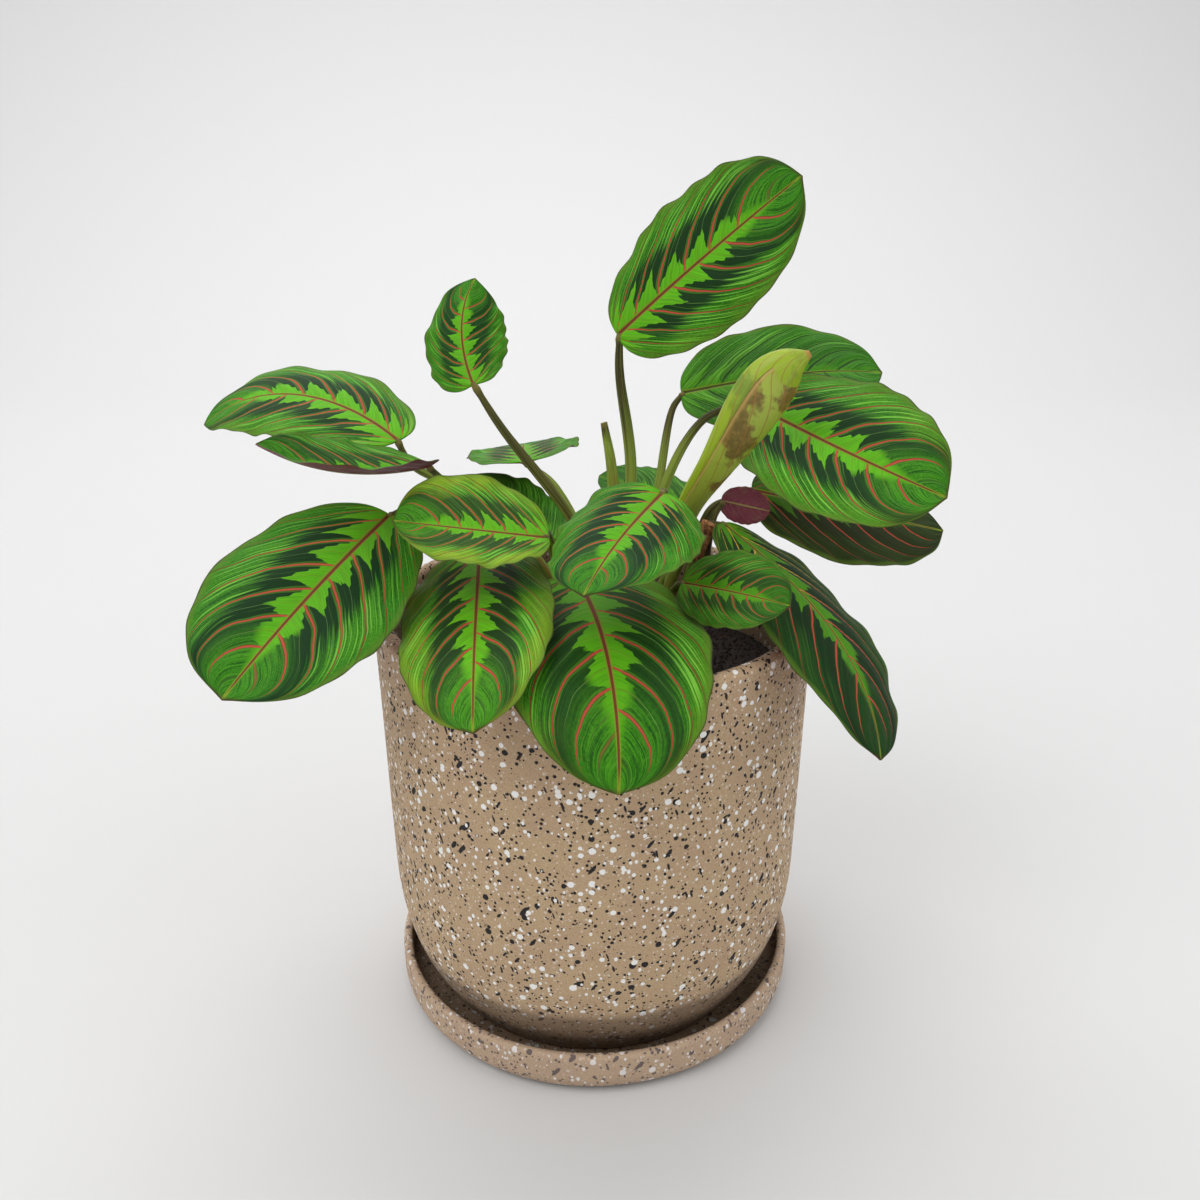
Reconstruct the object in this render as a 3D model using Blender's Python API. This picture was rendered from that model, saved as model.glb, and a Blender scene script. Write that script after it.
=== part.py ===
"""Potted prayer plant: a speckled planter on its saucer, with soil, leaf stalks and leaves.

Metres, +Z up. The origin is the middle of the saucer's flat underside, where it stands.
Leaves are named by where they grow: front is -Y, right is +X.
"""

import math
from collections import namedtuple

import bmesh
import bpy
from mathutils import Matrix, Vector

MM = 0.001
GAP = 0.3 * MM  # left between pieces that touch
UP = Vector((0, 0, 1))

# Saucer
SAUCER_RADIUS = 98.5 * MM
SAUCER_HEIGHT = 22.0 * MM
SAUCER_WALL = 4.5 * MM
SAUCER_FLOOR = 7.0 * MM
SAUCER_FOOT_RADIUS = 88.0 * MM

# Pot
POT_RIM_RADIUS = 100.0 * MM
POT_TOP = 200.0 * MM
POT_BOTTOM = SAUCER_FLOOR + GAP
POT_SHOULDER_RADIUS = 98.5 * MM  # where the rounded bottom meets the nearly straight side
POT_FOOT_RADIUS = 78.0 * MM
POT_ROUND_HEIGHT = 75.0 * MM
POT_ROUND_POWER = 2.6
POT_WALL = 7.5 * MM
POT_FLOOR = 9.0 * MM
DRAIN_RADIUS = 9.0 * MM
TURNED_STEPS = 48

# Soil
SOIL_TOP = 165.0 * MM  # at the crown; the surface falls a little towards the wall
SOIL_FALL = 3.0 * MM
SOIL_CLEARANCE = GAP
SOIL_SHRINK = POT_WALL + SOIL_CLEARANCE + 0.6 * MM  # clears the flat faces of the turned wall

# Leaves and stalks
BLADE_THICKNESS = 0.9 * MM
BLADE_FULLEST = 0.96  # below 1 moves the widest place towards the tip
BLADE_BLUNTNESS = 0.42  # lower makes both ends rounder
BASE_LOBES = 0.03  # of the length, how far the base reaches back past the joint
BLADE_FRAMES = 33
BLADE_STATIONS = 9
BLADE_FIRST, BLADE_LAST = 0.05, 0.97  # where the stations start and end, of half a turn
BLADE_NARROWEST = 0.012
BLADE_LANES = (-1.0, -0.72, -0.38, 0.0, 0.38, 0.72, 1.0)
STALK_SIDES = 7
STALK_RINGS = 9
STALK_TAPER = 0.75
STALK_END_GAP = 0.75  # mm from a stalk's end to the blade that it carries
ROLLED_STALK_RADIUS = 2.8  # mm
ROLLED_FLATNESS, SHEATH_FLATNESS = 0.6, 0.45  # depth from front to back, of the width
SHEATH_NARROWING = 0.6

COLOURS = {
    "stone": (0.42, 0.31, 0.22, 0.85),
    "soil": (0.035, 0.024, 0.017, 0.95),
    "leaf": (0.05, 0.24, 0.02, 0.45),
    "young_leaf": (0.30, 0.36, 0.05, 0.50),
    "stalk": (0.22, 0.24, 0.08, 0.50),
    "dry_sheath": (0.45, 0.25, 0.12, 0.80),
}

# How each blade sits: where it joins its stalk (mm), then degrees. heading turns from +Y
# towards +X, pitch lifts the tip, roll leans the blade to its right, droop and swing bend it
# down and to the right more and more towards the tip, twist turns it along its length, fold
# lifts each half from the midrib and curl bends each half further towards its edge.
Blade = namedtuple(
    "Blade",
    "joint heading pitch roll length width droop swing twist fold_left fold_right curl_left curl_right",
)
BLADES = {
    "top": Blade((11, 5, 318), 115, 42, 70, 97, 60, 0, 5, 8, 5, 5, -20, -20),
    "curled_left": Blade((-51, 0, 298), -32, 46, -60, 52, 42, 30, 36, -5, 10, -50, -14, -20),
    "upper_left": Blade((-83, -10, 276), -55, 28, -13, 98, 61, 54, -55, 0, 4, 5, -14, -25),
    "folded_left": Blade((-69, -18, 267), -147, 3, 2, 75, 41, -26, 55, -22, 28, 27, -6, -6),
    "big_left": Blade((-85, -30, 249), -143, -24, -10, 104, 80, 0, -10, -15, 12, 12, -18, -14),
    "middle_left": Blade((-18, -50, 245), -100, 10, -24, 61, 57, 0, 0, -8, 22, 8, -10, 0),
    "front_left": Blade((-48, -32, 234), 176, -12, 8, 102, 62, 22, 4, 5, 10, 8, -20, -22),
    "centre": Blade((29, -30, 258), -157, -5, -20, 81, 59, 22, 0, 24, 10, 12, -33, -52),
    "front": Blade((-8, -22, 218), 168, 3, 4, 125, 86, 71, 5, -11, 6, 6, -20, -20),
    "small_right": Blade((37, -46, 224), 125, 4, 38, 49, 37, 0, 7, 0, 14, 12, -8, -14),
    "drooping_right": Blade((57, -15, 240), 130, -26, -14, 122, 63, 42, 16, 0, 4, 0, -10, -44),
    "big_right": Blade((69, 19, 287), 140, -14, 36, 105, 67, 0, -4, 22, 5, 8, -14, 9),
    "back_right": Blade((42, 44, 286), 100, 13, 44, 92, 59, 24, 0, -12, 6, 5, 0, -6),
    "lower_right": Blade((73, 15, 247), 97, -12, 24, 90, 62, 6, -8, 0, 0, -4, -10, -10),
    "small_lower_right": Blade((57, -3, 247), 94, -12, -105, 22, 17, 0, 0, 0, 5, 5, 10, 10),
    "back_left": Blade((-33, 40, 254), -4, -4, -7, 78, 58, 8, 0, 0, 4, 4, -4, -4),
    "inner_left": Blade((-20, 12, 223), -38, 19, -4, 64, 44, 4, 0, 0, 6, 6, -8, -8),
    "back": Blade((50, 46, 230), -72, 16, -16, 50, 40, 10, 0, 0, 6, 6, -8, -8),
}

# Each stalk runs from the soil to its blade's joint through these points (mm), and its
# radius grows from tip_radius at the joint to base_radius in the sheath at the soil.
Stalk = namedtuple("Stalk", "root via base_radius tip_radius")
STALKS = {
    "top": Stalk((12, 4), ((16, 4, 215), (17, 5, 262), (12, 5, 300)), 3.6, 1.2),
    "curled_left": Stalk((2, 4), ((-2, 3, 215), (-11, 1, 240), (-38, 0, 277)), 3.4, 1.1),
    "upper_left": Stalk((-8, 6), ((-22, 2, 212), (-54, -3, 249), (-77, -8, 264)), 3.0, 1.1),
    "folded_left": Stalk((-14, -1), ((-28, -5, 204), (-48, -9, 236), (-63, -15, 258)), 3.0, 1.1),
    "big_left": Stalk((-21, -8), ((-38, -15, 206), (-60, -22, 238), (-77, -26, 249)), 3.0, 1.2),
    "middle_left": Stalk((-7, -14), ((-14, -15, 203), (-17, -17, 226), (-19, -32, 241)), 2.6, 1.2),
    "front_left": Stalk((-15, -14), ((-27, -13, 203), (-42, -20, 228)), 2.6, 1.2),
    "centre": Stalk((16, -8), ((22, -6, 215), (30, -18, 252)), 2.8, 1.3),
    "front": Stalk((3, -12), ((0, -9, 190), (-6, -12, 211)), 2.6, 1.4),
    "small_right": Stalk((24, -16), ((30, -18, 195), (35, -32, 216)), 2.4, 1.1),
    "drooping_right": Stalk((26, -5), ((34, -4, 205), (47, -13, 236)), 2.8, 1.4),
    "big_right": Stalk((22, 7), ((27, 10, 220), (34, 14, 252), (49, 17, 278)), 3.0, 1.2),
    "back_right": Stalk((26, 18), ((28, 20, 220), (32, 28, 252), (37, 40, 277)), 2.8, 1.1),
    "lower_right": Stalk((37, -3), ((43, 2, 205), (52, 8, 236), (63, 12, 243)), 2.8, 1.4),
    "small_lower_right": Stalk((42, -14), ((49, -9, 205), (53, -5, 236)), 2.2, 0.9),
    "back_left": Stalk((-2, 17), ((-3, 24, 212), (-17, 32, 243)), 2.6, 1.1),
    "inner_left": Stalk((-12, 15), ((-13, 13, 190), (-16, 10, 214)), 2.4, 1.1),
    "back": Stalk((16, 18), ((30, 26, 190), (45, 38, 218)), 2.4, 1.0),
}

# The leaf that is still rolled up: its axis (mm) and the roll's radius at each point.
ROLLED_AXIS = (
    (35, 5, 200), (39, 6, 222), (43, 1, 243), (53, -15, 267),
    (65, -22, 290), (73, -24, 303), (79, -27, 310), (87, -29, 315),
)
ROLLED_RADII = (2.8, 4.2, 6.0, 8.4, 12.4, 12.4, 9.0, 1.5)
ROLLED_ROOT = ((33, 6, 165.3), (33, 5, 180), (34, 5, 199))

# Sheath tips that stand clear of their stalks: the points of their middle line (mm).
SHEATHS = {
    "top_stalk_sheath": (((10.6, 4, 232), (8.5, 3, 260), (5, 2, 281)), 3.2, "stalk"),
    "dry_sheath": (((44, -16, 224), (47.5, -17.5, 234), (50, -20.5, 242)), 3.8, "dry_sheath"),
}


def clear_scene():
    for thing in list(bpy.data.objects):
        bpy.data.objects.remove(thing, do_unlink=True)


def material(name):
    found = bpy.data.materials.get(name)
    if found:
        return found
    red, green, blue, roughness = COLOURS[name]
    made = bpy.data.materials.new(name)
    made.use_nodes = True
    shader = made.node_tree.nodes["Principled BSDF"]
    shader.inputs["Base Color"].default_value = (red, green, blue, 1.0)
    shader.inputs["Roughness"].default_value = roughness
    shader.inputs["Metallic"].default_value = 0.0
    return made


def add_object(name, mesh_maker, finish):
    """Turn a filled bmesh into a named object with outward faces."""
    bmesh.ops.remove_doubles(mesh_maker, verts=mesh_maker.verts, dist=0.00001)
    bmesh.ops.recalc_face_normals(mesh_maker, faces=mesh_maker.faces)
    if mesh_maker.calc_volume(signed=True) < 0:
        bmesh.ops.reverse_faces(mesh_maker, faces=mesh_maker.faces)
    mesh = bpy.data.meshes.new(name)
    mesh_maker.to_mesh(mesh)
    mesh_maker.free()
    mesh.shade_smooth()
    mesh.set_sharp_from_angle(angle=math.radians(40))
    made = bpy.data.objects.new(name, mesh)
    made.data.materials.append(material(finish))
    bpy.context.scene.collection.objects.link(made)
    return made


def turn(name, outline, finish):
    """Turn a closed outline of (radius, height) points about the Z axis."""
    made = bmesh.new()
    rings = []
    for step in range(TURNED_STEPS):
        angle = 2 * math.pi * step / TURNED_STEPS
        spoke = Vector((math.cos(angle), math.sin(angle), 0))
        rings.append([made.verts.new(spoke * r + Vector((0, 0, z))) for r, z in outline])
    count = len(outline)
    for step in range(TURNED_STEPS):
        here, there = rings[step], rings[(step + 1) % TURNED_STEPS]
        for point in range(count):
            after = (point + 1) % count
            if outline[point][0] == 0 and outline[after][0] == 0:
                continue
            corners = [here[point], here[after], there[after], there[point]]
            made.faces.new(corners)
    bmesh.ops.remove_doubles(made, verts=made.verts, dist=0.00001)
    return add_object(name, made, finish)


def arc(middle, radius, start, end, steps):
    """Points of an arc in the (radius, height) plane, angles in degrees."""
    points = []
    for step in range(steps + 1):
        angle = math.radians(start + (end - start) * step / steps)
        points.append((middle[0] + radius * math.cos(angle), middle[1] + radius * math.sin(angle)))
    return points


def pot_side(height):
    """Outer radius of the pot at a height above its own bottom."""
    if height >= POT_ROUND_HEIGHT:
        up = (height - POT_ROUND_HEIGHT) / (POT_TOP - POT_BOTTOM - POT_ROUND_HEIGHT)
        return POT_SHOULDER_RADIUS + (POT_RIM_RADIUS - POT_SHOULDER_RADIUS) * min(up, 1.0)
    left = 1 - height / POT_ROUND_HEIGHT
    return POT_SHOULDER_RADIUS - (POT_SHOULDER_RADIUS - POT_FOOT_RADIUS) * left**POT_ROUND_POWER


def make_saucer():
    """A low dish: flat underside, rounded foot, upright wall with a rounded lip."""
    lip = SAUCER_WALL / 2
    foot_rise = SAUCER_RADIUS - SAUCER_FOOT_RADIUS
    outline = [(0, 0), (SAUCER_FOOT_RADIUS, 0)]
    outline += arc((SAUCER_FOOT_RADIUS, foot_rise), foot_rise, -68, 0, 4)
    outline += arc((SAUCER_RADIUS - lip, SAUCER_HEIGHT - lip), lip, 0, 180, 4)
    inner = SAUCER_RADIUS - SAUCER_WALL
    bend = 5 * MM
    outline += arc((inner - bend, SAUCER_FLOOR + bend), bend, 0, -90, 3)
    outline.append((0, SAUCER_FLOOR))
    turn("saucer", outline, "stone")


def make_pot():
    """A rounded pot with a thick lip and a drain hole through its floor."""
    lip = POT_WALL / 2
    side_top = POT_TOP - POT_BOTTOM - lip
    heights = [0, 3 * MM, 8 * MM, 15 * MM, 25 * MM, 40 * MM, 58 * MM, POT_ROUND_HEIGHT, 130 * MM]
    outline = [(DRAIN_RADIUS, POT_BOTTOM)]
    outline += [(pot_side(height), POT_BOTTOM + height) for height in heights]
    outline += arc((POT_RIM_RADIUS - lip, POT_BOTTOM + side_top), lip, 0, 180, 5)
    for height in (130 * MM, POT_ROUND_HEIGHT, 50 * MM, 32 * MM, 20 * MM, 13 * MM):
        outline.append((pot_side(height) - POT_WALL, POT_BOTTOM + height))
    outline.append((pot_side(POT_FLOOR) - POT_WALL - 6 * MM, POT_BOTTOM + POT_FLOOR))
    outline.append((DRAIN_RADIUS, POT_BOTTOM + POT_FLOOR))
    turn("pot", outline, "stone")


def make_soil():
    """Potting soil that fills the pot, with a slightly domed surface."""
    bottom = POT_BOTTOM + POT_FLOOR + SOIL_CLEARANCE
    outline = [(0, bottom), (pot_side(POT_FLOOR) - POT_WALL - 8 * MM, bottom)]
    for height in (13 * MM, 20 * MM, 32 * MM, 50 * MM, POT_ROUND_HEIGHT, 130 * MM):
        outline.append((pot_side(height) - SOIL_SHRINK, POT_BOTTOM + height))
    edge = SOIL_TOP - SOIL_FALL
    outline.append((pot_side(edge - POT_BOTTOM) - SOIL_SHRINK, edge))
    outline += [(60 * MM, SOIL_TOP - SOIL_FALL / 2), (45 * MM, SOIL_TOP), (0, SOIL_TOP)]
    turn("potting_soil", outline, "soil")


def half_width(along, width):
    """Half the blade's width at a fraction of its length: full at the base, rounder at the tip."""
    return 0.5 * width * max(math.sin(math.pi * along**BLADE_FULLEST), 0.0) ** BLADE_BLUNTNESS


def blade_frames(blade, count):
    """Points along the midrib with the directions right, up and forward at each."""
    heading, pitch = math.radians(blade.heading), math.radians(blade.pitch)
    forward = Vector(
        (math.sin(heading) * math.cos(pitch), math.cos(heading) * math.cos(pitch), math.sin(pitch))
    )
    right = Vector((math.cos(heading), -math.sin(heading), 0))
    up = right.cross(forward)
    lean = Matrix.Rotation(math.radians(blade.roll), 3, forward)
    right, up = lean @ right, lean @ up
    place = Vector(blade.joint) * MM
    frames = [(place.copy(), right, up, forward)]
    steps = count - 1
    for step in range(steps):
        share = ((step + 1) ** 2 - step**2) / steps**2
        dip = Matrix.Rotation(-math.radians(blade.droop) * share, 3, right)
        forward, up = dip @ forward, dip @ up
        veer = Matrix.Rotation(-math.radians(blade.swing) / steps, 3, up)
        forward, right = veer @ forward, veer @ right
        turned = Matrix.Rotation(math.radians(blade.twist) / steps, 3, forward)
        right, up = turned @ right, turned @ up
        place = place + forward * (blade.length * MM / steps)
        frames.append((place.copy(), right, up, forward))
    return frames


def blade_point(blade, frame, along, lane):
    """A point of the blade's middle surface; lane runs from -1 (left edge) to 1 (right edge)."""
    place, right, up, forward = frame
    reach = abs(lane) * half_width(along, blade.width * MM)
    if lane < 0:
        fold, curl = math.radians(blade.fold_left), math.radians(blade.curl_left)
    else:
        fold, curl = math.radians(blade.fold_right), math.radians(blade.curl_right)
    bend = (curl if abs(curl) > 0.001 else 0.001) / (0.5 * blade.width * MM)
    across = (math.sin(fold + bend * reach) - math.sin(fold)) / bend
    lift = (math.cos(fold) - math.cos(fold + bend * reach)) / bend
    lobe = BASE_LOBES * blade.length * MM * (1 - along) ** 6 * 2 * reach / (blade.width * MM)
    return place + right * math.copysign(across, lane) + up * lift - forward * lobe


def make_blade(name, blade):
    """A leaf blade: one thin closed sheet with its lower side a blade's thickness down."""
    frames = blade_frames(blade, BLADE_FRAMES)
    last = BLADE_FRAMES - 1
    made = bmesh.new()
    tops, bottoms = [], []
    for station in range(BLADE_STATIONS):
        turned = BLADE_FIRST + (BLADE_LAST - BLADE_FIRST) * station / (BLADE_STATIONS - 1)
        place = min(int(round((0.5 - 0.5 * math.cos(math.pi * turned)) * last)), last)
        frame = frames[place]
        along = max(place / last, BLADE_NARROWEST)
        points = [blade_point(blade, frame, along, lane) for lane in BLADE_LANES]
        half = frame[2] * BLADE_THICKNESS / 2
        tops.append([made.verts.new(point + half) for point in points])
        bottoms.append([made.verts.new(point - half) for point in points])
    lanes = len(BLADE_LANES)
    for station in range(BLADE_STATIONS - 1):
        after = station + 1
        for lane in range(lanes - 1):
            for rows in (tops, bottoms):
                near, far = rows[station], rows[after]
                made.faces.new([near[lane], near[lane + 1], far[lane + 1], far[lane]])
        for lane in (0, lanes - 1):
            top_edge = [tops[station][lane], tops[after][lane]]
            made.faces.new([*top_edge, bottoms[after][lane], bottoms[station][lane]])
    for station in (0, BLADE_STATIONS - 1):
        top, bottom = tops[station], bottoms[station]
        for lane in range(lanes - 1):
            made.faces.new([top[lane], top[lane + 1], bottom[lane + 1], bottom[lane]])
    return add_object(name, made, "leaf")


def smooth_line(points, count):
    """Points read evenly from a Catmull-Rom curve through the given ones."""
    points = [Vector(point) for point in points]
    padded = [points[0] * 2 - points[1], *points, points[-1] * 2 - points[-2]]
    spans = len(points) - 1
    line = []
    for step in range(count):
        place = spans * step / (count - 1)
        span = min(int(place), spans - 1)
        t = place - span
        a, b, c, d = padded[span : span + 4]
        line.append(
            0.5
            * (2 * b + (c - a) * t + (2 * a - 5 * b + 4 * c - d) * t * t + (3 * b - a - 3 * c + d) * t**3)
        )
    return line


def make_tube(name, line, radii, finish, sides=STALK_SIDES, flat=1.0, first=None, last=None):
    """A closed tube of changing radius along a line of points in mm.

    flat squeezes it front to back; first and last are the directions its end caps stand across.
    """
    made = bmesh.new()
    rings = []
    sideways = Vector((1, 0, 0))
    for place, (point, radius) in enumerate(zip(line, radii)):
        ahead = line[min(place + 1, len(line) - 1)] - line[max(place - 1, 0)]
        ahead.normalize()
        if place == 0 and first:
            ahead = first
        if place == len(line) - 1 and last:
            ahead = last
        sideways = (sideways - ahead * sideways.dot(ahead)).normalized()
        frontways = ahead.cross(sideways)
        ring = []
        for side in range(sides):
            angle = 2 * math.pi * side / sides
            offset = sideways * math.cos(angle) + frontways * math.sin(angle) * flat
            ring.append(made.verts.new((point + offset * radius) * MM))
        rings.append(ring)
    for lower, upper in zip(rings, rings[1:]):
        for side in range(sides):
            after = (side + 1) % sides
            made.faces.new([lower[side], lower[after], upper[after], upper[side]])
    made.faces.new(reversed(rings[0]))
    made.faces.new(rings[-1])
    return add_object(name, made, finish)


def make_stalk(name, blade, stalk):
    """A leaf stalk from the soil up to the blade, ending a gap short of it."""
    forward = blade_frames(blade, 5)[0][3]
    joint = Vector(blade.joint)
    end = joint - forward * STALK_END_GAP
    foot = Vector((*stalk.root, (SOIL_TOP + GAP) / MM))
    line = smooth_line([foot, *stalk.via, end], STALK_RINGS)
    radii = []
    for ring in range(STALK_RINGS):
        down = 1 - ring / (STALK_RINGS - 1)
        radii.append(stalk.tip_radius + (stalk.base_radius - stalk.tip_radius) * down**STALK_TAPER)
    make_tube(name, line, radii, "stalk", first=UP, last=forward)


def make_rolled_leaf():
    """The youngest leaf, still rolled, on its own short stalk."""
    rings = 11
    axis = smooth_line(ROLLED_AXIS, rings)
    radii = [size.x for size in smooth_line([(radius, 0, 0) for radius in ROLLED_RADII], rings)]
    make_tube("rolled_young_leaf", axis, radii, "young_leaf", sides=10, flat=ROLLED_FLATNESS)
    stalk = smooth_line(ROLLED_ROOT, 4)
    radii = [ROLLED_STALK_RADIUS] * len(stalk)
    make_tube("rolled_leaf_stalk", stalk, radii, "stalk", first=UP, last=UP)


def make_sheaths():
    """Thin sheath tips, each narrowing to its end."""
    for name, (points, radius, finish) in SHEATHS.items():
        line = smooth_line(points, 5)
        radii = [radius * (1 - SHEATH_NARROWING * (ring / 4) ** 1.5) for ring in range(5)]
        make_tube(name, line, radii, finish, sides=6, flat=SHEATH_FLATNESS)


def main():
    clear_scene()
    make_saucer()
    make_pot()
    make_soil()
    for place, blade in BLADES.items():
        make_blade(place + "_leaf", blade)
        make_stalk(place + "_leaf_stalk", blade, STALKS[place])
    make_rolled_leaf()
    make_sheaths()


main()
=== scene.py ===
"""Potted prayer plant: the finished look of the planter, its soil, stalks and leaves.

Metres, +Z up, front is -Y. Each piece takes the place of the plain solid of the same name.
"""

import math
from collections import namedtuple

import bmesh
import bpy
from mathutils import Matrix, Vector, noise


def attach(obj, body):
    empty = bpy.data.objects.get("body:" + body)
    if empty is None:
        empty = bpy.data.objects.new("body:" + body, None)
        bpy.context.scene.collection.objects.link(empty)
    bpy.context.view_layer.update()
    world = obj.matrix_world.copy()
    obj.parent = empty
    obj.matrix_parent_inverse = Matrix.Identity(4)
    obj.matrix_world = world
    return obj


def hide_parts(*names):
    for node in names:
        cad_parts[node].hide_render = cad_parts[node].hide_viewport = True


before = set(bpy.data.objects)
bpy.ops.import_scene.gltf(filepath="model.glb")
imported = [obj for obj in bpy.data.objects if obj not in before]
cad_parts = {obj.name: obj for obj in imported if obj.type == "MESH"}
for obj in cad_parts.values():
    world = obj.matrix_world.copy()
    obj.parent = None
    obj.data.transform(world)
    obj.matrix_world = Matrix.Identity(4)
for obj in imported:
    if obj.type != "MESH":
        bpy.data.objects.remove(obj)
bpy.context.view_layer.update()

bl_info = {
    "name": "Potted Prayer Plant",
    "version": (1, 0, 0),
    "blender": (4, 5, 0),
    "location": "3D View > Sidebar > Plant",
    "description": "Builds a potted prayer plant with patterned leaves in a speckled planter",
    "category": "Add Mesh",
}

MM = 0.001
UP = Vector((0, 0, 1))

# How each blade sits: where it joins its stalk (mm), then degrees. heading turns from +Y
# towards +X, pitch lifts the tip, roll leans the blade to its right, droop and swing bend it
# down and to the right more and more towards the tip, twist turns it along its length, fold
# lifts each half from the midrib and curl bends each half further towards its edge.
Blade = namedtuple(
    "Blade",
    "joint heading pitch roll length width droop swing twist fold_left fold_right curl_left curl_right",
)
BLADES = {
    "top": Blade((11, 5, 318), 115, 42, 70, 97, 60, 0, 5, 8, 5, 5, -20, -20),
    "curled_left": Blade((-51, 0, 298), -32, 46, -60, 52, 42, 30, 36, -5, 10, -50, -14, -20),
    "upper_left": Blade((-83, -10, 276), -55, 28, -13, 98, 61, 54, -55, 0, 4, 5, -14, -25),
    "folded_left": Blade((-69, -18, 267), -147, 3, 2, 75, 41, -26, 55, -22, 28, 27, -6, -6),
    "big_left": Blade((-85, -30, 249), -143, -24, -10, 104, 80, 0, -10, -15, 12, 12, -18, -14),
    "middle_left": Blade((-18, -50, 245), -100, 10, -24, 61, 57, 0, 0, -8, 22, 8, -10, 0),
    "front_left": Blade((-48, -32, 234), 176, -12, 8, 102, 62, 22, 4, 5, 10, 8, -20, -22),
    "centre": Blade((29, -30, 258), -157, -5, -20, 81, 59, 22, 0, 24, 10, 12, -33, -52),
    "front": Blade((-8, -22, 218), 168, 3, 4, 125, 86, 71, 5, -11, 6, 6, -20, -20),
    "small_right": Blade((37, -46, 224), 125, 4, 38, 49, 37, 0, 7, 0, 14, 12, -8, -14),
    "drooping_right": Blade((57, -15, 240), 130, -26, -14, 122, 63, 42, 16, 0, 4, 0, -10, -44),
    "big_right": Blade((69, 19, 287), 140, -14, 36, 105, 67, 0, -4, 22, 5, 8, -14, 9),
    "back_right": Blade((42, 44, 286), 100, 13, 44, 92, 59, 24, 0, -12, 6, 5, 0, -6),
    "lower_right": Blade((73, 15, 247), 97, -12, 24, 90, 62, 6, -8, 0, 0, -4, -10, -10),
    "small_lower_right": Blade((57, -3, 247), 94, -12, -105, 22, 17, 0, 0, 0, 5, 5, 10, 10),
    "back_left": Blade((-33, 40, 254), -4, -4, -7, 78, 58, 8, 0, 0, 4, 4, -4, -4),
    "inner_left": Blade((-20, 12, 223), -38, 19, -4, 64, 44, 4, 0, 0, 6, 6, -8, -8),
    "back": Blade((50, 46, 230), -72, 16, -16, 50, 40, 10, 0, 0, 6, 6, -8, -8),
}

# The finish of each blade: how strongly it is marked (0 to 1), how dark or yellow it is
# (-1 to 1) and where its side veins start, as a share of the space between two of them.
Finish = namedtuple("Finish", "marking age start")
FINISHES = {
    "top": Finish(1.0, 0.1, 0.25),
    "curled_left": Finish(0.9, 0.0, 0.7),
    "upper_left": Finish(1.0, 0.1, 0.1),
    "folded_left": Finish(0.8, -0.1, 0.5),
    "big_left": Finish(1.0, -0.1, 0.35),
    "middle_left": Finish(0.9, 0.55, 0.6),
    "front_left": Finish(1.0, 0.4, 0.15),
    "centre": Finish(1.0, -0.12, 0.45),
    "front": Finish(0.86, 0.16, 0.8),
    "small_right": Finish(0.7, -0.3, 0.3),
    "drooping_right": Finish(1.0, -0.85, 0.55),
    "big_right": Finish(1.0, 0.1, 0.05),
    "back_right": Finish(0.30, -0.1, 0.65),
    "lower_right": Finish(0.7, -0.9, 0.2),
    "small_lower_right": Finish(0.3, 0.6, 0.9),
    "back_left": Finish(0.9, 0.0, 0.4),
    "inner_left": Finish(0.3, -0.1, 0.75),
    "back": Finish(0.3, -0.2, 0.5),
}

# Each stalk runs from the soil to its blade's joint through these points (mm), and its
# radius grows from tip_radius at the joint to base_radius in the sheath at the soil. browning
# is how far the brown of its upper end reaches down (0 to 1).
Stalk = namedtuple("Stalk", "root via base_radius tip_radius browning")
STALKS = {
    "top": Stalk((12, 4), ((16, 4, 215), (17, 5, 262), (12, 5, 300)), 3.6, 1.2, 0.45),
    "curled_left": Stalk((2, 4), ((-2, 3, 215), (-11, 1, 240), (-38, 0, 277)), 3.4, 1.1, 0.5),
    "upper_left": Stalk((-8, 6), ((-22, 2, 212), (-54, -3, 249), (-77, -8, 264)), 3.0, 1.1, 0.3),
    "folded_left": Stalk((-14, -1), ((-28, -5, 204), (-48, -9, 236), (-63, -15, 258)), 3.0, 1.1, 0.2),
    "big_left": Stalk((-21, -8), ((-38, -15, 206), (-60, -22, 238), (-77, -26, 249)), 3.0, 1.2, 0.2),
    "middle_left": Stalk((-7, -14), ((-14, -15, 203), (-17, -17, 226), (-19, -32, 241)), 2.6, 1.2, 0.3),
    "front_left": Stalk((-15, -14), ((-27, -13, 203), (-42, -20, 228)), 2.6, 1.2, 0.3),
    "centre": Stalk((16, -8), ((22, -6, 215), (30, -18, 252)), 2.8, 1.3, 0.3),
    "front": Stalk((3, -12), ((0, -9, 190), (-6, -12, 211)), 2.6, 1.4, 0.3),
    "small_right": Stalk((24, -16), ((30, -18, 195), (35, -32, 216)), 2.4, 1.1, 0.3),
    "drooping_right": Stalk((26, -5), ((34, -4, 205), (47, -13, 236)), 2.8, 1.4, 0.5),
    "big_right": Stalk((22, 7), ((27, 10, 220), (34, 14, 252), (49, 17, 278)), 3.0, 1.2, 0.4),
    "back_right": Stalk((26, 18), ((28, 20, 220), (32, 28, 252), (37, 40, 277)), 2.8, 1.1, 0.4),
    "lower_right": Stalk((37, -3), ((43, 2, 205), (52, 8, 236), (63, 12, 243)), 2.8, 1.4, 0.7),
    "small_lower_right": Stalk((42, -14), ((49, -9, 205), (53, -5, 236)), 2.2, 0.9, 0.6),
    "back_left": Stalk((-2, 17), ((-3, 24, 212), (-17, 32, 243)), 2.6, 1.1, 0.3),
    "inner_left": Stalk((-12, 15), ((-13, 13, 190), (-16, 10, 214)), 2.4, 1.1, 0.3),
    "back": Stalk((16, 18), ((30, 26, 190), (45, 38, 218)), 2.4, 1.0, 0.3),
}

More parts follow.
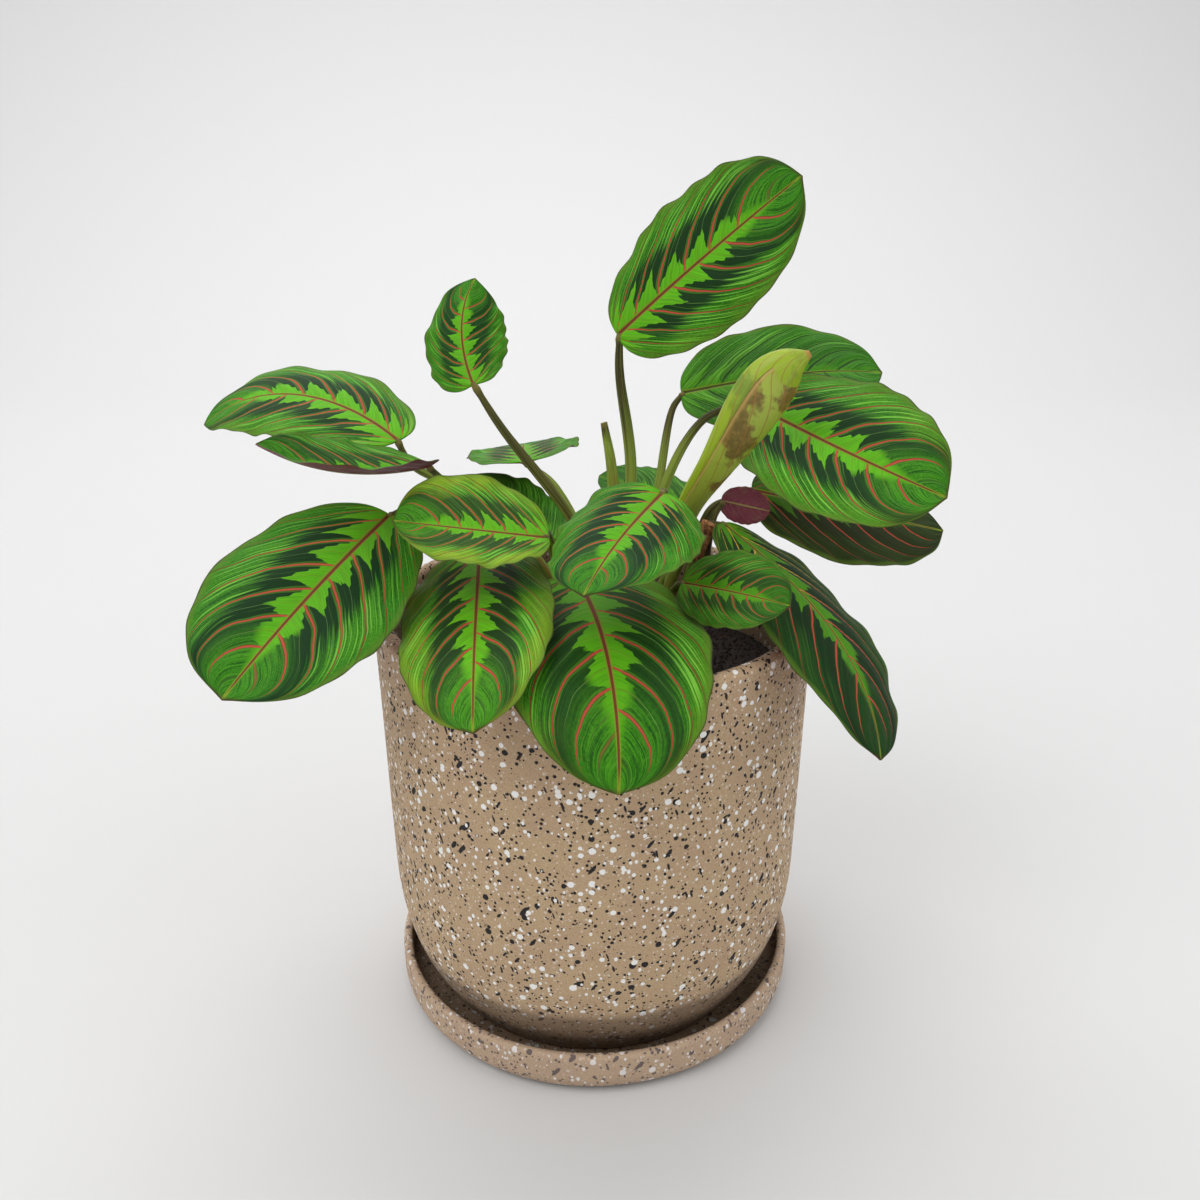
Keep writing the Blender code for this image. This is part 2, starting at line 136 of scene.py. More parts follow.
# The leaf that is still rolled up: its axis (mm) and the roll's radius at each point.
ROLLED_AXIS = (
    (35, 5, 200), (39, 6, 222), (43, 1, 243), (53, -15, 267),
    (65, -22, 290), (73, -24, 303), (79, -27, 310), (87, -29, 315),
)
ROLLED_RADII = (2.8, 4.2, 6.0, 8.4, 12.4, 12.4, 9.0, 1.5)
ROLLED_ROOT = ((33, 6, 165.3), (33, 5, 180), (34, 5, 199))

# Sheath tips that stand clear of their stalks: the points of their middle line (mm).
SHEATHS = {
    "top_stalk_sheath": (((10.6, 4, 232), (8.5, 3, 260), (5, 2, 281)), 3.2, "leaf_stalk"),
    "dry_sheath": (((44, -16, 224), (47.5, -17.5, 234), (50, -20.5, 242)), 3.8, "dry_sheath"),
}

# How every blade is cut: BLADE_FULLEST below 1 moves the widest place towards the tip, and a
# lower BLADE_BLUNTNESS makes both ends rounder. The lobes and the point are shares of the length.
BLADE_FULLEST, BLADE_BLUNTNESS, BASE_LOBES, TIP_POINT = 0.96, 0.42, 0.03, 0.018
# A side vein arches forward by VEIN_SLANT of the length, and by VEIN_BEND near the edge.
VEIN_SLANT, VEIN_BEND, VEIN_BEND_POWER = 0.20, 0.26, 2.2

# Stalks, the rolled leaf and the sheaths (mm, or shares of the width)
STALK_TAPER, STALK_SUNK, STALK_REACH = 0.75, 1.0, 1.2
ROLLED_STALK_RADIUS, ROLLED_STALK_RINGS = 2.8, 16
ROLLED_FLATNESS, ROLLED_WALL, ROLLED_START = 0.6, 0.4, -128
SHEATH_FLATNESS, SHEATH_RINGS, GREEN_NARROWING, DRY_NARROWING = 0.45, 24, 0.5, 0.15

# Planter (mm)
POT_TOP, POT_BOTTOM, POT_RIM, POT_SHOULDER, POT_FOOT = 200.0, 7.3, 100.0, 98.5, 78.0
POT_ROUND_HEIGHT, POT_ROUND_POWER, POT_WALL, POT_FLOOR, DRAIN_RADIUS = 75.0, 2.6, 7.5, 9.0, 9.0
SAUCER_RADIUS, SAUCER_HEIGHT, SAUCER_WALL, SAUCER_FLOOR, SAUCER_FOOT = 98.5, 22.0, 4.5, 7.0, 88.0
SOIL_TOP, SOIL_FALL, SOIL_CLEARANCE, SOIL_STEPS = 165.0, 3.0, 0.3, 30
TURNED_SLACK = 0.6  # keeps the soil clear of the flat faces of the turned wall
WALL_UNEVENNESS = 0.25

# Camera, in metres and degrees
CAMERA_PLACE, CAMERA_TILT, CAMERA_ROLL, CAMERA_TURN = (0, -0.460, 0.378), 21.3, -0.36, -0.28


# Sizes and colours that a user can change


def colour(name, description, value):
    return bpy.props.FloatVectorProperty(
        name=name, description=description, default=value, subtype="COLOR", size=3, min=0.0, max=1.0
    )


def length(name, description, value):
    return bpy.props.FloatProperty(
        name=name, description=description, default=value, min=0.0, unit="LENGTH", precision=5
    )


def share(name, description, value, high=1.0):
    return bpy.props.FloatProperty(name=name, description=description, default=value, min=0.0, max=high)


def count(name, description, value, low=3):
    return bpy.props.IntProperty(name=name, description=description, default=value, min=low)


class PlanterSettings(bpy.types.PropertyGroup):
    """Sizes and colours of the pot and its saucer."""

    stone: colour("Stone", "Ground colour of the speckled stone", (0.485, 0.340, 0.196))
    light_speck: colour("Light specks", "Colour of the pale specks", (0.86, 0.85, 0.82))
    dark_speck: colour("Dark specks", "Colour of the black specks", (0.016, 0.013, 0.014))
    speck_size: length("Speck size", "Size of an ordinary speck", 1.55 * MM)
    turns: count("Steps round", "Faces round the pot", 144, 24)


class SoilSettings(bpy.types.PropertyGroup):
    """Sizes and colours of the potting soil."""

    soil: colour("Soil", "Colour of moist potting soil", (0.030, 0.019, 0.012))
    bark: colour("Bark", "Colour of the bark chips", (0.16, 0.085, 0.045))
    crumb_size: length("Crumb size", "Across an ordinary crumb of soil", 2.2 * MM)
    crumb_density: share("Crumbs per square metre", "How close the crumbs lie", 150000.0, 400000.0)
    seed: count("Seed", "Changes how the crumbs fall", 7, 0)


class LeafSettings(bpy.types.PropertyGroup):
    """Sizes and colours of the leaf blades."""

    green: colour("Green", "Main green of the upper side", (0.026, 0.200, 0.003))
    lime: colour("Lime", "Feathered band along the midrib", (0.120, 0.460, 0.008))
    blotch: colour("Blotch", "Dark blotches between the side veins", (0.0045, 0.034, 0.0055))
    streak: colour("Streak", "Fine pale streaks", (0.21, 0.58, 0.06))
    vein: colour("Vein", "Red of the side veins", (0.46, 0.072, 0.040))
    midrib: colour("Midrib", "Red-brown of the midrib", (0.190, 0.042, 0.020))
    underside: colour("Underside", "Maroon of the lower side", (0.170, 0.022, 0.045))
    thickness: length("Thickness", "Thickness of a blade", 0.5 * MM)
    quilting: length("Quilting", "How far the blade swells between its side veins", 0.55 * MM)
    waviness: length("Waviness", "How far the edge waves up and down", 1.0 * MM)
    veins: share("Side veins", "Side veins along each half of a blade", 6.8, 12.0)
    rows: count("Rows", "Rows of faces along a blade", 84, 20)
    lanes: count("Lanes", "Faces across each half of a blade", 24, 6)


class StalkSettings(bpy.types.PropertyGroup):
    """Sizes and colours of the leaf stalks and sheaths."""

    green: colour("Green", "Yellow-green of a stalk", (0.22, 0.30, 0.030))
    brown: colour("Brown", "Brown of a stalk's upper end", (0.075, 0.042, 0.014))
    dry: colour("Dry", "Tan of the dried sheath", (0.50, 0.20, 0.045))
    rings: count("Rings", "Rings along a stalk", 56, 8)
    sides: count("Sides", "Faces round a stalk", 20, 6)
    swelling: share("Swelling", "How much a stalk swells under its blade", 0.35)


class YoungLeafSettings(bpy.types.PropertyGroup):
    """Colours of the leaf that is still rolled up."""

    lime: colour("Lime", "Hood of the young leaf", (0.33, 0.47, 0.012))
    olive: colour("Olive", "Outer flap of the young leaf", (0.38, 0.47, 0.055))
    overlap: share("Overlap", "How far the leaf is rolled past one full turn", 0.45)


class StageSettings(bpy.types.PropertyGroup):
    """Floor, light and camera."""

    floor: colour("Floor", "Colour of the floor and backdrop", (0.68, 0.68, 0.68))
    key_power: bpy.props.FloatProperty(
        name="Key light", description="Power of the main soft light", default=9.0, min=0.0, unit="POWER"
    )
    fill: share("Fill", "Brightness of the light from all round", 0.62, 5.0)
    lens: bpy.props.FloatProperty(
        name="Lens", description="Focal length of the camera", default=32.0, min=10.0, unit="CAMERA"
    )


# Shader node building


class Wiring:
    """Adds nodes to a shader tree and joins them."""

    def __init__(self, tree):
        self.tree = tree
        self.column = 0

    def node(self, kind, **settings):
        made = self.tree.nodes.new("ShaderNode" + kind)
        made.location = (180 * (self.column // 4), -260 * (self.column % 4))
        self.column += 1
        for name, value in settings.items():
            setattr(made, name, value)
        return made

    def feed(self, socket, value):
        if isinstance(value, bpy.types.NodeSocket):
            self.tree.links.new(value, socket)
        elif hasattr(value, "__len__") and socket.type == "RGBA":
            socket.default_value = (*tuple(value)[:3], 1.0)
        else:
            socket.default_value = value

    def math(self, operation, *values, clamp=False):
        made = self.node("Math", operation=operation, use_clamp=clamp)
        for socket, value in zip(made.inputs, values):
            self.feed(socket, value)
        return made.outputs[0]

    def add(self, *values):
        total = values[0]
        for value in values[1:]:
            total = self.math("ADD", total, value)
        return total

    def times(self, *values):
        total = values[0]
        for value in values[1:]:
            total = self.math("MULTIPLY", total, value)
        return total

    def less(self, first, second):
        return self.math("SUBTRACT", first, second)

    def step(self, value, start, end, low=0.0, high=1.0):
        """A smooth step from low at start to high at end."""
        made = self.node("MapRange", interpolation_type="SMOOTHSTEP")
        for name, given in (("Value", value), ("From Min", start), ("From Max", end)):
            self.feed(made.inputs[name], given)
        made.inputs["To Min"].default_value = low
        made.inputs["To Max"].default_value = high
        return made.outputs["Result"]

    def fall(self, value, start, end):
        """A smooth step from 1 at start down to 0 at end."""
        return self.step(value, start, end, 1.0, 0.0)

    def most(self, *values):
        total = values[0]
        for value in values[1:]:
            total = self.math("MAXIMUM", total, value)
        return total

    def mix(self, part, first, second, blend="MIX"):
        made = self.node("Mix", data_type="RGBA", blend_type=blend)
        self.feed(made.inputs[0], part)
        self.feed(made.inputs[6], first)
        self.feed(made.inputs[7], second)
        return made.outputs[2]

    def vector(self, x, y, z):
        made = self.node("CombineXYZ")
        for socket, value in zip(made.inputs, (x, y, z)):
            self.feed(socket, value)
        return made.outputs[0]

    def split(self, vector):
        made = self.node("SeparateXYZ")
        self.feed(made.inputs[0], vector)
        return made.outputs

    def noise(self, vector, scale, detail=2.0, roughness=0.5):
        made = self.node("TexNoise")
        self.feed(made.inputs["Vector"], vector)
        self.feed(made.inputs["Scale"], scale)
        made.inputs["Detail"].default_value = detail
        made.inputs["Roughness"].default_value = roughness
        return made.outputs[0]

    def moved(self, vector, scale, turn=(0, 0, 0)):
        made = self.node("Mapping")
        self.feed(made.inputs["Vector"], vector)
        made.inputs["Scale"].default_value = scale
        made.inputs["Rotation"].default_value = [math.radians(angle) for angle in turn]
        return made.outputs[0]


def node_group(name, takes, gives):
    """An empty shader node group with named sockets: its wiring, its inputs and its output node."""
    tree = bpy.data.node_groups.new(name, "ShaderNodeTree")
    for label, kind, value in takes:
        made = tree.interface.new_socket(label, in_out="INPUT", socket_type="NodeSocket" + kind)
        if value is not None:
            made.default_value = (*value, 1.0) if kind == "Color" else value
    for label, kind in gives:
        tree.interface.new_socket(label, in_out="OUTPUT", socket_type="NodeSocket" + kind)
    wires = Wiring(tree)
    entry = tree.nodes.new("NodeGroupInput")
    entry.location = (-260, 0)
    leave = tree.nodes.new("NodeGroupOutput")
    return wires, entry.outputs, leave.inputs


def finish_group(wires, leave, **values):
    for label, value in values.items():
        wires.feed(leave[label.replace("_", " ")], value)
    leave[0].node.location = (180 * (wires.column // 4 + 1), 0)


def use_group(wires, name, **values):
    made = wires.node("Group", node_tree=bpy.data.node_groups[name])
    for label, value in values.items():
        wires.feed(made.inputs[label.replace("_", " ")], value)
    return made.outputs


def new_material(name):
    """A material with its Principled shader and a wiring helper."""
    made = bpy.data.materials.new(name)
    made.use_nodes = True
    made.node_tree.nodes.clear()
    wires = Wiring(made.node_tree)
    shader = made.node_tree.nodes.new("ShaderNodeBsdfPrincipled")
    shader.location = (900, 0)
    out = made.node_tree.nodes.new("ShaderNodeOutputMaterial")
    out.location = (1200, 0)
    made.node_tree.links.new(shader.outputs[0], out.inputs[0])
    return made, wires, shader


def set_bump(wires, shader, height, distance, strength):
    bump = wires.node("Bump")
    bump.inputs["Strength"].default_value = strength
    bump.inputs["Distance"].default_value = distance
    wires.feed(bump.inputs["Height"], height)
    wires.feed(shader.inputs["Normal"], bump.outputs[0])


# Node groups


def speck_group():
    """Rounded specks of random size: one in a few cells holds one."""
    wires, take, leave = node_group(
        "specks",
        [("Position", "Vector", None), ("Cells per Metre", "Float", 400.0),
         ("Share", "Float", 0.4), ("Largest", "Float", 0.35), ("Softness", "Float", 0.03)],
        [("Mask", "Float")],
    )
    cells = wires.node("TexVoronoi", feature="F1")
    wires.feed(cells.inputs["Vector"], take["Position"])
    wires.feed(cells.inputs["Scale"], take["Cells per Metre"])
    cells.inputs["Randomness"].default_value = 0.9
    chance = wires.split(cells.outputs["Color"])[0]
    over = wires.less(chance, wires.less(1.0, take["Share"]))
    size = wires.times(wires.math("DIVIDE", over, take["Share"], clamp=True), take["Largest"])
    size = wires.math("SUBTRACT", size, take["Softness"])
    mask = wires.fall(cells.outputs["Distance"], size, wires.add(size, take["Softness"]))
    mask = wires.times(mask, wires.math("GREATER_THAN", over, 0.0))
    finish_group(wires, leave, Mask=mask)


def stone_group():
    """Tan stone ground full of pale and black specks, some of them long shards."""
    wires, take, leave = node_group(
        "speckled_stone",
        [("Position", "Vector", None), ("Stone", "Color", (0.4, 0.3, 0.2)),
         ("Light Specks", "Color", (0.8, 0.8, 0.8)), ("Dark Specks", "Color", (0.02, 0.02, 0.02)),
         ("Speck Size", "Float", 1.1 * MM)],
        [("Colour", "Color"), ("Height", "Float"), ("Roughness", "Float")],
    )
    place = take["Position"]
    cells = wires.math("DIVIDE", 1.0, take["Speck Size"])
    wobble = wires.node("TexNoise")
    wires.feed(wobble.inputs["Vector"], place)
    wobble.inputs["Scale"].default_value = 700.0
    shift = wires.node("VectorMath", operation="MULTIPLY_ADD")
    wires.feed(shift.inputs[0], wobble.outputs["Color"])
    shift.inputs[1].default_value = (0.0007, 0.0007, 0.0007)
    wires.feed(shift.inputs[2], place)
    ragged = shift.outputs[0]

    def specks(vector, spacing, part, largest, softness=0.025):
        return use_group(
            wires, "specks", Position=vector, Cells_per_Metre=wires.times(cells, 1 / spacing),
            Share=part, Largest=largest, Softness=softness,
        )[0]

    small = wires.moved(place, (1.2, 1.2, 0.9), (20, 30, 0))
    pale = wires.most(specks(ragged, 2.8, 0.50, 0.40), specks(small, 1.7, 0.50, 0.42, 0.06))
    tiny_pale = specks(wires.moved(place, (1, 1, 1), (50, 10, 30)), 1.0, 0.50, 0.50, 0.12)
    leaning = wires.moved(ragged, (1, 1, 1), (8, 52, 5))
    upright = wires.moved(ragged, (1, 1, 1), (4, -74, 9))
    shards = specks(wires.moved(leaning, (0.42, 1.1, 1.4)), 3.2, 0.40, 0.36)
    splinters = specks(wires.moved(upright, (0.5, 1.4, 2.2)), 2.6, 0.32, 0.34)
    blots = specks(ragged, 3.6, 0.55, 0.32)
    dots = specks(wires.moved(ragged, (1, 1, 1), (10, 70, 40)), 1.2, 0.70, 0.46)
    dark = wires.most(shards, splinters, blots, dots)
    cloud = wires.noise(place, 45.0, 4.0, 0.6)
    grain = wires.noise(place, 1500.0, 2.0, 0.6)
    ground = wires.mix(wires.times(wires.step(cloud, 0.35, 0.7), 0.35), take["Stone"], (0.36, 0.225, 0.155))
    ground = wires.mix(wires.times(wires.step(grain, 0.4, 0.72), 0.28), ground, (0.62, 0.50, 0.36))
    ground = wires.mix(wires.times(wires.fall(grain, 0.3, 0.48), 0.30), ground, (0.21, 0.125, 0.075))
    tone = wires.mix(wires.times(tiny_pale, 0.7), ground, (0.72, 0.63, 0.53))
    tone = wires.mix(dark, tone, take["Dark Specks"])
    tone = wires.mix(pale, tone, take["Light Specks"])
    height = wires.add(wires.times(grain, 0.35), wires.times(pale, 0.12), wires.times(dark, -0.35))
    rough = wires.less(wires.add(0.62, wires.times(grain, 0.25)), wires.times(pale, 0.18))
    finish_group(wires, leave, Colour=tone, Height=height, Roughness=rough)


def blade_map(wires, place):
    """Along the blade, from one edge to the other, away from the midrib, and 1 on the right half."""
    along, across = wires.split(place)[:2]
    edge = wires.math("ABSOLUTE", wires.less(wires.times(across, 2.0), 1.0))
    return along, across, edge, wires.math("GREATER_THAN", across, 0.5)


def vein_arch(wires, edge):
    """How far a side vein has run towards the tip at this distance from the midrib."""
    bend = wires.math("POWER", edge, VEIN_BEND_POWER)
    return wires.add(wires.times(edge, VEIN_SLANT), wires.times(bend, VEIN_BEND))


def stretched_noise(wires, x, y, z, scale=1.0, detail=2.0, roughness=0.5):
    return wires.noise(wires.vector(x, y, z), scale, detail, roughness)


def leaf_group():
    """The markings of a prayer plant leaf, drawn on a map of the blade.

    The map's first number runs from the joint (0) to the tip (1) and its second from the
    left edge (0) to the right edge (1). Tone holds marking, age and start of the veins.
    """
    wires, take, leave = node_group(
        "leaf_markings",
        [("Leaf Map", "Vector", None), ("Tone", "Vector", None), ("Side Veins", "Float", 6.0),
         ("Green", "Color", (0, 0.2, 0)), ("Lime", "Color", (0, 0.5, 0)),
         ("Blotch", "Color", (0, 0, 0)), ("Streak", "Color", (0.3, 0.6, 0.1)),
         ("Vein", "Color", (0.6, 0, 0)), ("Midrib", "Color", (0.3, 0, 0))],
        [("Colour", "Color"), ("Height", "Float")],
    )
    along, across, edge, right = blade_map(wires, take["Leaf Map"])
    marking, age, start = wires.split(take["Tone"])
    seed = wires.times(start, 17.0)
    spread = wires.vector(along, across, seed)
    wobble = wires.less(wires.noise(spread, 6.0, 1.0), 0.5)

    # Side veins leave the midrib and arch towards the tip
    root = wires.less(wires.add(along, wires.times(wobble, 0.035)), vein_arch(wires, edge))
    beat = wires.add(wires.times(root, take["Side Veins"]), wires.times(right, 0.5), start)
    away = wires.math("PINGPONG", beat, 0.5)
    swell = wires.math("SINE", wires.times(wires.math("POWER", along, BLADE_FULLEST), math.pi))
    body = wires.math("POWER", wires.most(swell, 0.0), BLADE_BLUNTNESS)
    out = wires.times(edge, body)
    reach = wires.less(1.0, wires.times(edge, 0.55))
    line = wires.times(wires.add(reach, wires.times(wires.fall(edge, 0.0, 0.2), -0.3)), 0.060)
    ribs = wires.fall(away, wires.times(line, 0.62), line)
    ribs = wires.times(ribs, wires.fall(edge, 0.90, 0.99), wires.fall(along, 0.90, 0.97))
    ribs = wires.times(ribs, wires.fall(root, 0.80, 0.86))
    core = wires.add(wires.times(wires.less(1.1, along), 0.019), 0.008)
    spine = wires.fall(out, wires.times(core, 0.55), core)
    spine = wires.times(spine, wires.fall(along, 0.93, 0.99))
    middle = wires.step(away, 0.486, 0.497)
    middle = wires.times(middle, wires.fall(edge, 0.45, 0.80), wires.fall(root, 0.70, 0.82))

    # Feathered lime band, a pointed lobe between each two side veins
    lobe = wires.math("POWER", wires.times(away, 2.0), 1.45)
    teeth = wires.add(wires.times(beat, 4.5), wires.times(out, 5.0))
    notch = wires.times(wires.math("PINGPONG", teeth, 0.5), 0.13)
    crumple = wires.times(wires.less(stretched_noise(wires, beat, out, seed, 7.0), 0.5), 0.13)
    narrowing = wires.less(1.18, wires.times(along, 0.78))
    base = wires.fall(along, 0.0, 0.22)
    band = wires.add(wires.times(lobe, 0.31, narrowing), 0.055, notch, crumple, wires.times(base, 0.06))
    feather = wires.fall(out, wires.less(band, 0.012), wires.add(band, 0.006))
    feather = wires.times(feather, wires.fall(wires.add(along, edge), 0.80, 0.97))

    # Dark blotches beyond the band break up into streaks towards the edge
    grainy = stretched_noise(wires, wires.times(beat, 11.0), wires.times(edge, 1.6), seed, 1.0, 3.0, 0.6)
    frayed = wires.times(wires.less(grainy, 0.5), 0.62)
    far = wires.add(0.58, frayed, wires.times(wires.less(start, 0.5), 0.08))
    blot = wires.fall(out, wires.less(far, 0.10), wires.add(far, 0.08))
    blot = wires.times(blot, wires.step(root, -0.16, 0.06), wires.fall(root, 0.58, 0.78))
    blot = wires.times(blot, wires.less(1.0, feather), marking)

    # Fine streaks that follow the side veins, pores and large soft patches
    fine = stretched_noise(wires, wires.times(beat, 24.0), wires.times(edge, 2.2), seed, 1.0, 3.0, 0.6)
    hair = stretched_noise(wires, wires.times(beat, 13.0), edge, wires.add(seed, 4.0), 1.0, 1.0)
    pores = stretched_noise(wires, wires.times(along, 90.0), wires.times(across, 60.0), seed, 1.0, 2.0, 0.7)
    patch = stretched_noise(wires, wires.times(along, 3.0), wires.times(across, 3.0), seed, 1.5, 3.0)

    # Colours, from the ground up
    tone = wires.mix(wires.times(wires.step(fine, 0.42, 0.66), 0.6), take["Green"], (0.085, 0.32, 0.012))
    tone = wires.mix(wires.times(wires.fall(fine, 0.38, 0.52), 0.85), tone, (0.006, 0.052, 0.004))
    tone = wires.mix(wires.times(wires.step(patch, 0.50, 0.75), 0.35), tone, (0.075, 0.28, 0.010))
    tone = wires.mix(wires.times(wires.step(pores, 0.50, 0.66), 0.25), tone, (0.110, 0.36, 0.022))
    tone = wires.mix(wires.times(wires.fall(pores, 0.34, 0.48), 0.35), tone, (0.010, 0.085, 0.006))
    inner = wires.times(wires.fall(edge, 0.80, 0.98), wires.fall(root, 0.50, 0.66))
    silk = wires.times(wires.step(hair, 0.56, 0.62), inner, 0.78)
    tone = wires.mix(silk, tone, take["Streak"])
    tone = wires.mix(blot, tone, take["Blotch"])
    silk_dark = wires.times(wires.step(hair, 0.66, 0.74), blot, 0.22)
    tone = wires.mix(silk_dark, tone, take["Streak"])
    tone = wires.mix(wires.times(middle, 0.4), tone, (0.26, 0.44, 0.12))
    lime = wires.mix(wires.times(wires.step(out, 0.10, 0.45), 0.45), take["Lime"], (0.19, 0.46, 0.016))
    lime = wires.mix(wires.times(wires.step(fine, 0.35, 0.70), 0.55), lime, (0.045, 0.225, 0.006))
    plain = wires.add(0.15, wires.times(marking, 0.85))
    tone = wires.mix(wires.times(feather, plain), tone, lime)
    beside = wires.times(wires.fall(away, wires.times(line, 1.6), wires.times(line, 2.6)), 0.45)
    tone = wires.mix(wires.times(beside, wires.less(1.0, feather)), tone, (0.10, 0.33, 0.020))
    aged = wires.most(age, 0.0)
    margin = wires.step(wires.add(edge, wires.times(wires.less(patch, 0.5), 0.9)), 0.60, 1.0)
    yellow = wires.times(aged, wires.add(0.06, wires.times(margin, 0.94)))
    tone = wires.mix(yellow, tone, (0.33, 0.42, 0.018))
    shade = wires.most(wires.times(age, -1.0), 0.0)
    gloom = wires.mix(wires.step(marking, 0.80, 0.95), (0.022, 0.026, 0.006), (0.006, 0.027, 0.005))
    tone = wires.mix(wires.times(shade, wires.less(1.0, wires.times(feather, marking, 0.55))), tone, gloom)
    rim = wires.times(wires.step(edge, 0.90, 0.97), 0.55)
    tone = wires.mix(rim, tone, (0.11, 0.20, 0.018))
    tone = wires.mix(wires.times(wires.step(edge, 0.975, 0.995), 0.75), tone, (0.050, 0.040, 0.014))
    red = wires.mix(wires.step(edge, 0.55, 0.98), take["Vein"], (0.16, 0.040, 0.014))
    red = wires.mix(wires.step(marking, 0.30, 0.45), (0.020, 0.070, 0.008), red)
    golden = wires.times(shade, wires.fall(along, 0.22, 0.50), wires.step(marking, 0.80, 0.95))
    red = wires.mix(wires.times(golden, 1.2), red, (0.60, 0.40, 0.05))
    # Painted shade: a dark line along each sunken side vein, outside the lime band.
    vein_side_shade = wires.times(wires.fall(away, line, wires.times(line, 1.5)), wires.less(1.0, feather), 0.55)
    tone = wires.mix(vein_side_shade, tone, (0.006, 0.030, 0.006))
    tone = wires.mix(wires.times(middle, wires.fall(out, 0.12, 0.32), 0.6), tone, take["Midrib"])
    tone = wires.mix(ribs, tone, red)
    beside_spine = wires.fall(out, wires.times(core, 1.1), wires.times(core, 2.2))
    tone = wires.mix(beside_spine, tone, (0.20, 0.30, 0.020))
    middle_red = wires.mix(wires.step(marking, 0.30, 0.45), (0.06, 0.075, 0.015), take["Midrib"])
    tone = wires.mix(spine, tone, middle_red)
    brown = wires.times(wires.step(along, 0.985, 0.999), 0.6)
    tone = wires.mix(brown, tone, (0.09, 0.06, 0.02))
    height = wires.add(
        wires.times(ribs, -0.8), wires.times(spine, -1.0), wires.times(fine, 0.30), wires.times(feather, 0.12)
    )
    finish_group(wires, leave, Colour=tone, Height=height)


def underside_group():
    """The maroon lower side of a blade, with paler raised ribs."""
    wires, take, leave = node_group(
        "leaf_underside",
        [("Leaf Map", "Vector", None), ("Tone", "Vector", None), ("Side Veins", "Float", 6.0),
         ("Underside", "Color", (0.1, 0, 0))],
        [("Colour", "Color"), ("Height", "Float")],
    )
    along, across, edge, right = blade_map(wires, take["Leaf Map"])
    start = wires.split(take["Tone"])[2]
    root = wires.less(along, vein_arch(wires, edge))
    beat = wires.add(wires.times(root, take["Side Veins"]), wires.times(right, 0.5), start)
    away = wires.math("PINGPONG", beat, 0.5)
    seed = wires.times(start, 13.0)
    fine = stretched_noise(wires, wires.times(beat, 20.0), wires.times(edge, 2.0), seed)
    patch = stretched_noise(wires, wires.times(along, 4.0), wires.times(across, 3.0), seed, 1.5, 3.0)
    ribs = wires.times(wires.fall(away, 0.02, 0.05), wires.fall(edge, 0.9, 0.98))
    spine = wires.fall(edge, 0.03, 0.06)
    tone = wires.mix(wires.times(wires.step(fine, 0.35, 0.7), 0.4), take["Underside"], (0.30, 0.060, 0.085))
    tone = wires.mix(wires.times(wires.step(patch, 0.48, 0.72), 0.55), tone, (0.22, 0.10, 0.070))
    tone = wires.mix(wires.times(ribs, 0.6), tone, (0.46, 0.16, 0.11))
    tone = wires.mix(wires.times(spine, 0.8), tone, (0.40, 0.33, 0.10))
    tone = wires.mix(wires.times(wires.step(edge, 0.93, 0.99), 0.6), tone, (0.16, 0.13, 0.03))
    height = wires.add(ribs, spine, wires.times(fine, 0.2))
    finish_group(wires, leave, Colour=tone, Height=height)


def stalk_group():
    """Fine lengthwise streaks: pale and green below, brown and black above."""
    wires, take, leave = node_group(
        "stalk_streaks",
        [("Round", "Vector", None), ("Along", "Float", 0.0), ("Tone", "Vector", None),
         ("Green", "Color", (0.3, 0.4, 0.1)), ("Brown", "Color", (0.1, 0.05, 0.03))],
        [("Colour", "Color"), ("Height", "Float")],
    )
    sideways, frontways = wires.split(take["Round"])[:2]
    browning, _, seed = wires.split(take["Tone"])
    stretch = wires.times(take["Along"], 1.6)
    lengthways = wires.add(stretch, seed)
    fine = stretched_noise(
        wires, wires.times(sideways, 4.0), wires.times(frontways, 4.0), lengthways, 2.6, 3.0
    )
    wide = stretched_noise(wires, wires.times(sideways, 1.3), wires.times(frontways, 1.3), lengthways, 1.5)
    upper = wires.add(take["Along"], wires.times(wires.less(wide, 0.5), 0.5))
    limit = wires.less(1.05, browning)
    brown = wires.step(upper, wires.less(limit, 0.16), wires.add(limit, 0.10))
    tone = wires.mix(wires.times(wires.step(fine, 0.45, 0.65), 0.7), take["Green"], (0.38, 0.46, 0.085))
    tone = wires.mix(wires.times(wires.fall(fine, 0.34, 0.50), 0.6), tone, (0.095, 0.16, 0.025))
    tone = wires.mix(wires.times(wires.step(wide, 0.58, 0.68), 0.6), tone, (0.34, 0.13, 0.045))
    dark = wires.mix(wires.step(fine, 0.40, 0.64), (0.018, 0.012, 0.007), take["Brown"])
    dark = wires.mix(wires.times(wires.step(fine, 0.52, 0.66), 0.75), dark, (0.19, 0.20, 0.022))
    tone = wires.mix(wires.times(brown, 0.9), tone, dark)
    neck = wires.times(wires.step(take["Along"], 0.93, 0.98), 0.55)
    tone = wires.mix(neck, tone, (0.28, 0.22, 0.06))
    finish_group(wires, leave, Colour=tone, Height=fine)


# Materials


def object_place(wires):
    return wires.node("TexCoord").outputs["Object"]


def leaf_map(wires):
    return wires.node("UVMap", uv_map="LeafMap").outputs[0]


def attribute(wires, name):
    return wires.node("Attribute", attribute_name=name).outputs


